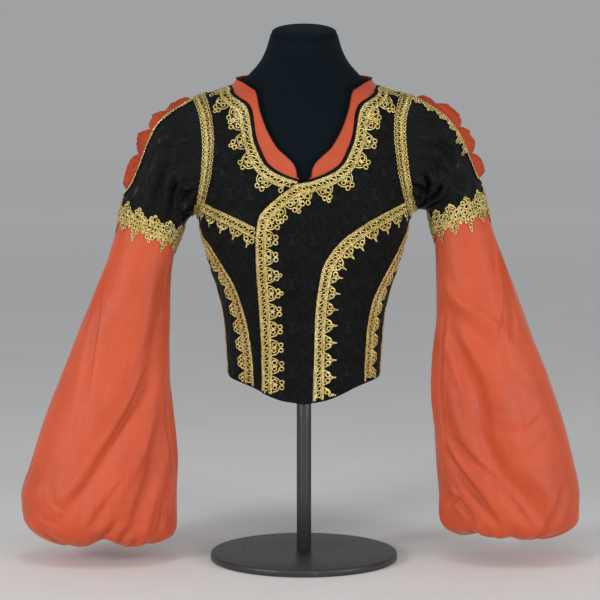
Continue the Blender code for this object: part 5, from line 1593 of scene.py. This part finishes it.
COLS = 120
around = np.linspace(0, 360, COLS, endpoint=False)
heights = np.concatenate([[FORM_BOTTOM], np.linspace(FORM_BOTTOM + 3, 770, 60), np.linspace(773, 893, 62)])
rings = []
for k, z in enumerate(heights):
    draw = -FORM_SLACK - (2.0 if k == 0 else 0.0)
    rings.append(over_form(around, np.full(COLS, z), np.full(COLS, draw)))
rings[0][:, 2] = rings[0][:, 2].max()
rings[-1] = rings[-1] + 0.0
ob = solid("form_torso_cover", rings, COVER)
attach(ob, "root")
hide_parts("form_torso")

wide, front, back, mid, _, lean = [float(c(893.0)) for c in FORM_COLUMNS]
rings = []
for scale_, up in ((0.985, TOUCH), (1.0, 1.2), (1.0, 4.2), (0.99, 5.6), (0.97, 6.9), (0.93, 8.3), (0.86, 9.6),
                   (0.74, 10.9), (0.6, 11.8), (0.42, 12.4), (0.22, 12.7)):
    y = -np.cos(np.radians(around)) * CAP_HALF * scale_
    rings.append(np.stack([np.sin(np.radians(around)) * CAP_HALF * scale_, mid + y, 893.0 + up + lean * y], -1))
ob = solid("form_cap_cover", rings, CAP_COVER)
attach(ob, "root")
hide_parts("form_cap")


def lathe(name, node, profile, sides):
    a = np.linspace(0, 2 * math.pi, sides, endpoint=False)
    rings = [np.stack([r * np.cos(a), r * np.sin(a), z + 0 * a], -1) for r, z in profile]
    ob = solid(name, rings, STEEL)
    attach(ob, "root")
    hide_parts(node)
    return ob


lathe("stand_pole_tube", "stand_pole", [(POLE_RADIUS - 1, BASE_HEIGHT + TOUCH), (POLE_RADIUS, BASE_HEIGHT + TOUCH + 1),
                                        (POLE_RADIUS, 120), (POLE_RADIUS, 230), (POLE_RADIUS, FORM_BOTTOM - TOUCH - 1),
                                        (POLE_RADIUS - 1, FORM_BOTTOM - TOUCH)], 48)
e = BASE_EDGE
lathe("stand_base_plate", "stand_base", [(BASE_RADIUS - 1.2, 0), (BASE_RADIUS, 1.2), (BASE_RADIUS, BASE_HEIGHT - e),
                                         (BASE_RADIUS - e * 0.12, BASE_HEIGHT - e * 0.55), (BASE_RADIUS - e * 0.45, BASE_HEIGHT - e * 0.2),
                                         (BASE_RADIUS - e, BASE_HEIGHT), (BASE_RADIUS * 0.6, BASE_HEIGHT), (20, BASE_HEIGHT)], 160)

# --------------------------------------------------------- floor and lights
floor_look = Look("studio_floor", (0.70, 0.70, 0.69), 0.75, specular=0.2)
place = floor_look.place()
grain = floor_look.noise(place, 3, 3)
near = floor_look.mix(floor_look.span(grain, 0.3, 0.7), (0.79, 0.79, 0.78), (0.82, 0.82, 0.81))
away = floor_look.node("VectorMath", operation="LENGTH")
floor_look.put(place, away.inputs[0])
floor_look.to("Base Color", floor_look.mix(floor_look.span(away.outputs[1], 2.0, 8.0), near, (0.98, 0.98, 0.98)))
floor_mesh = bpy.data.meshes.new("studio_floor")
R = 14.0
ring = [(R * math.cos(a), R * math.sin(a), -0.0005) for a in np.linspace(0, 2 * math.pi, 64, endpoint=False)]
floor_mesh.from_pydata(ring, [], [list(range(64))])
floor_mesh.materials.append(floor_look.material)
floor = bpy.data.objects.new("studio_floor", floor_mesh)
scene.collection.objects.link(floor)
floor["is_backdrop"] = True

world = bpy.data.worlds.new("studio")
scene.world = world
world.use_nodes = True
world.node_tree.nodes["Background"].inputs[0].default_value = (0.80, 0.81, 0.83, 1)
world.node_tree.nodes["Background"].inputs[1].default_value = 0.44


def area_light(name, place, size, power, colour=(1, 1, 1)):
    data = bpy.data.lights.new(name, "AREA")
    data.shape, data.size, data.energy, data.color = "DISK", size, power, colour
    ob = bpy.data.objects.new(name, data)
    ob.location = place
    ob.rotation_euler = (Vector((0, 0, 0.5)) - Vector(place)).to_track_quat("-Z", "Y").to_euler()
    scene.collection.objects.link(ob)


area_light("key", (-2.5, -2.3, 1.15), 1.1, 56)
area_light("fill", (2.6, -2.1, 0.85), 1.2, 42)
area_light("front", (0.3, -3.8, 1.0), 1.4, 15)
area_light("top", (-0.2, -0.6, 3.0), 1.0, 9)

scene.view_settings.view_transform = "Standard"
scene.view_settings.look = "None"

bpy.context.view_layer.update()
for row in SHEETS:
    print("sheet", *row)
total = 0
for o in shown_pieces():
    o.data.calc_loop_triangles()
    total += len(o.data.loop_triangles)
    if len(o.data.loop_triangles) > 30000:
        print("triangles", o.name, len(o.data.loop_triangles))
print("triangles in all", total)
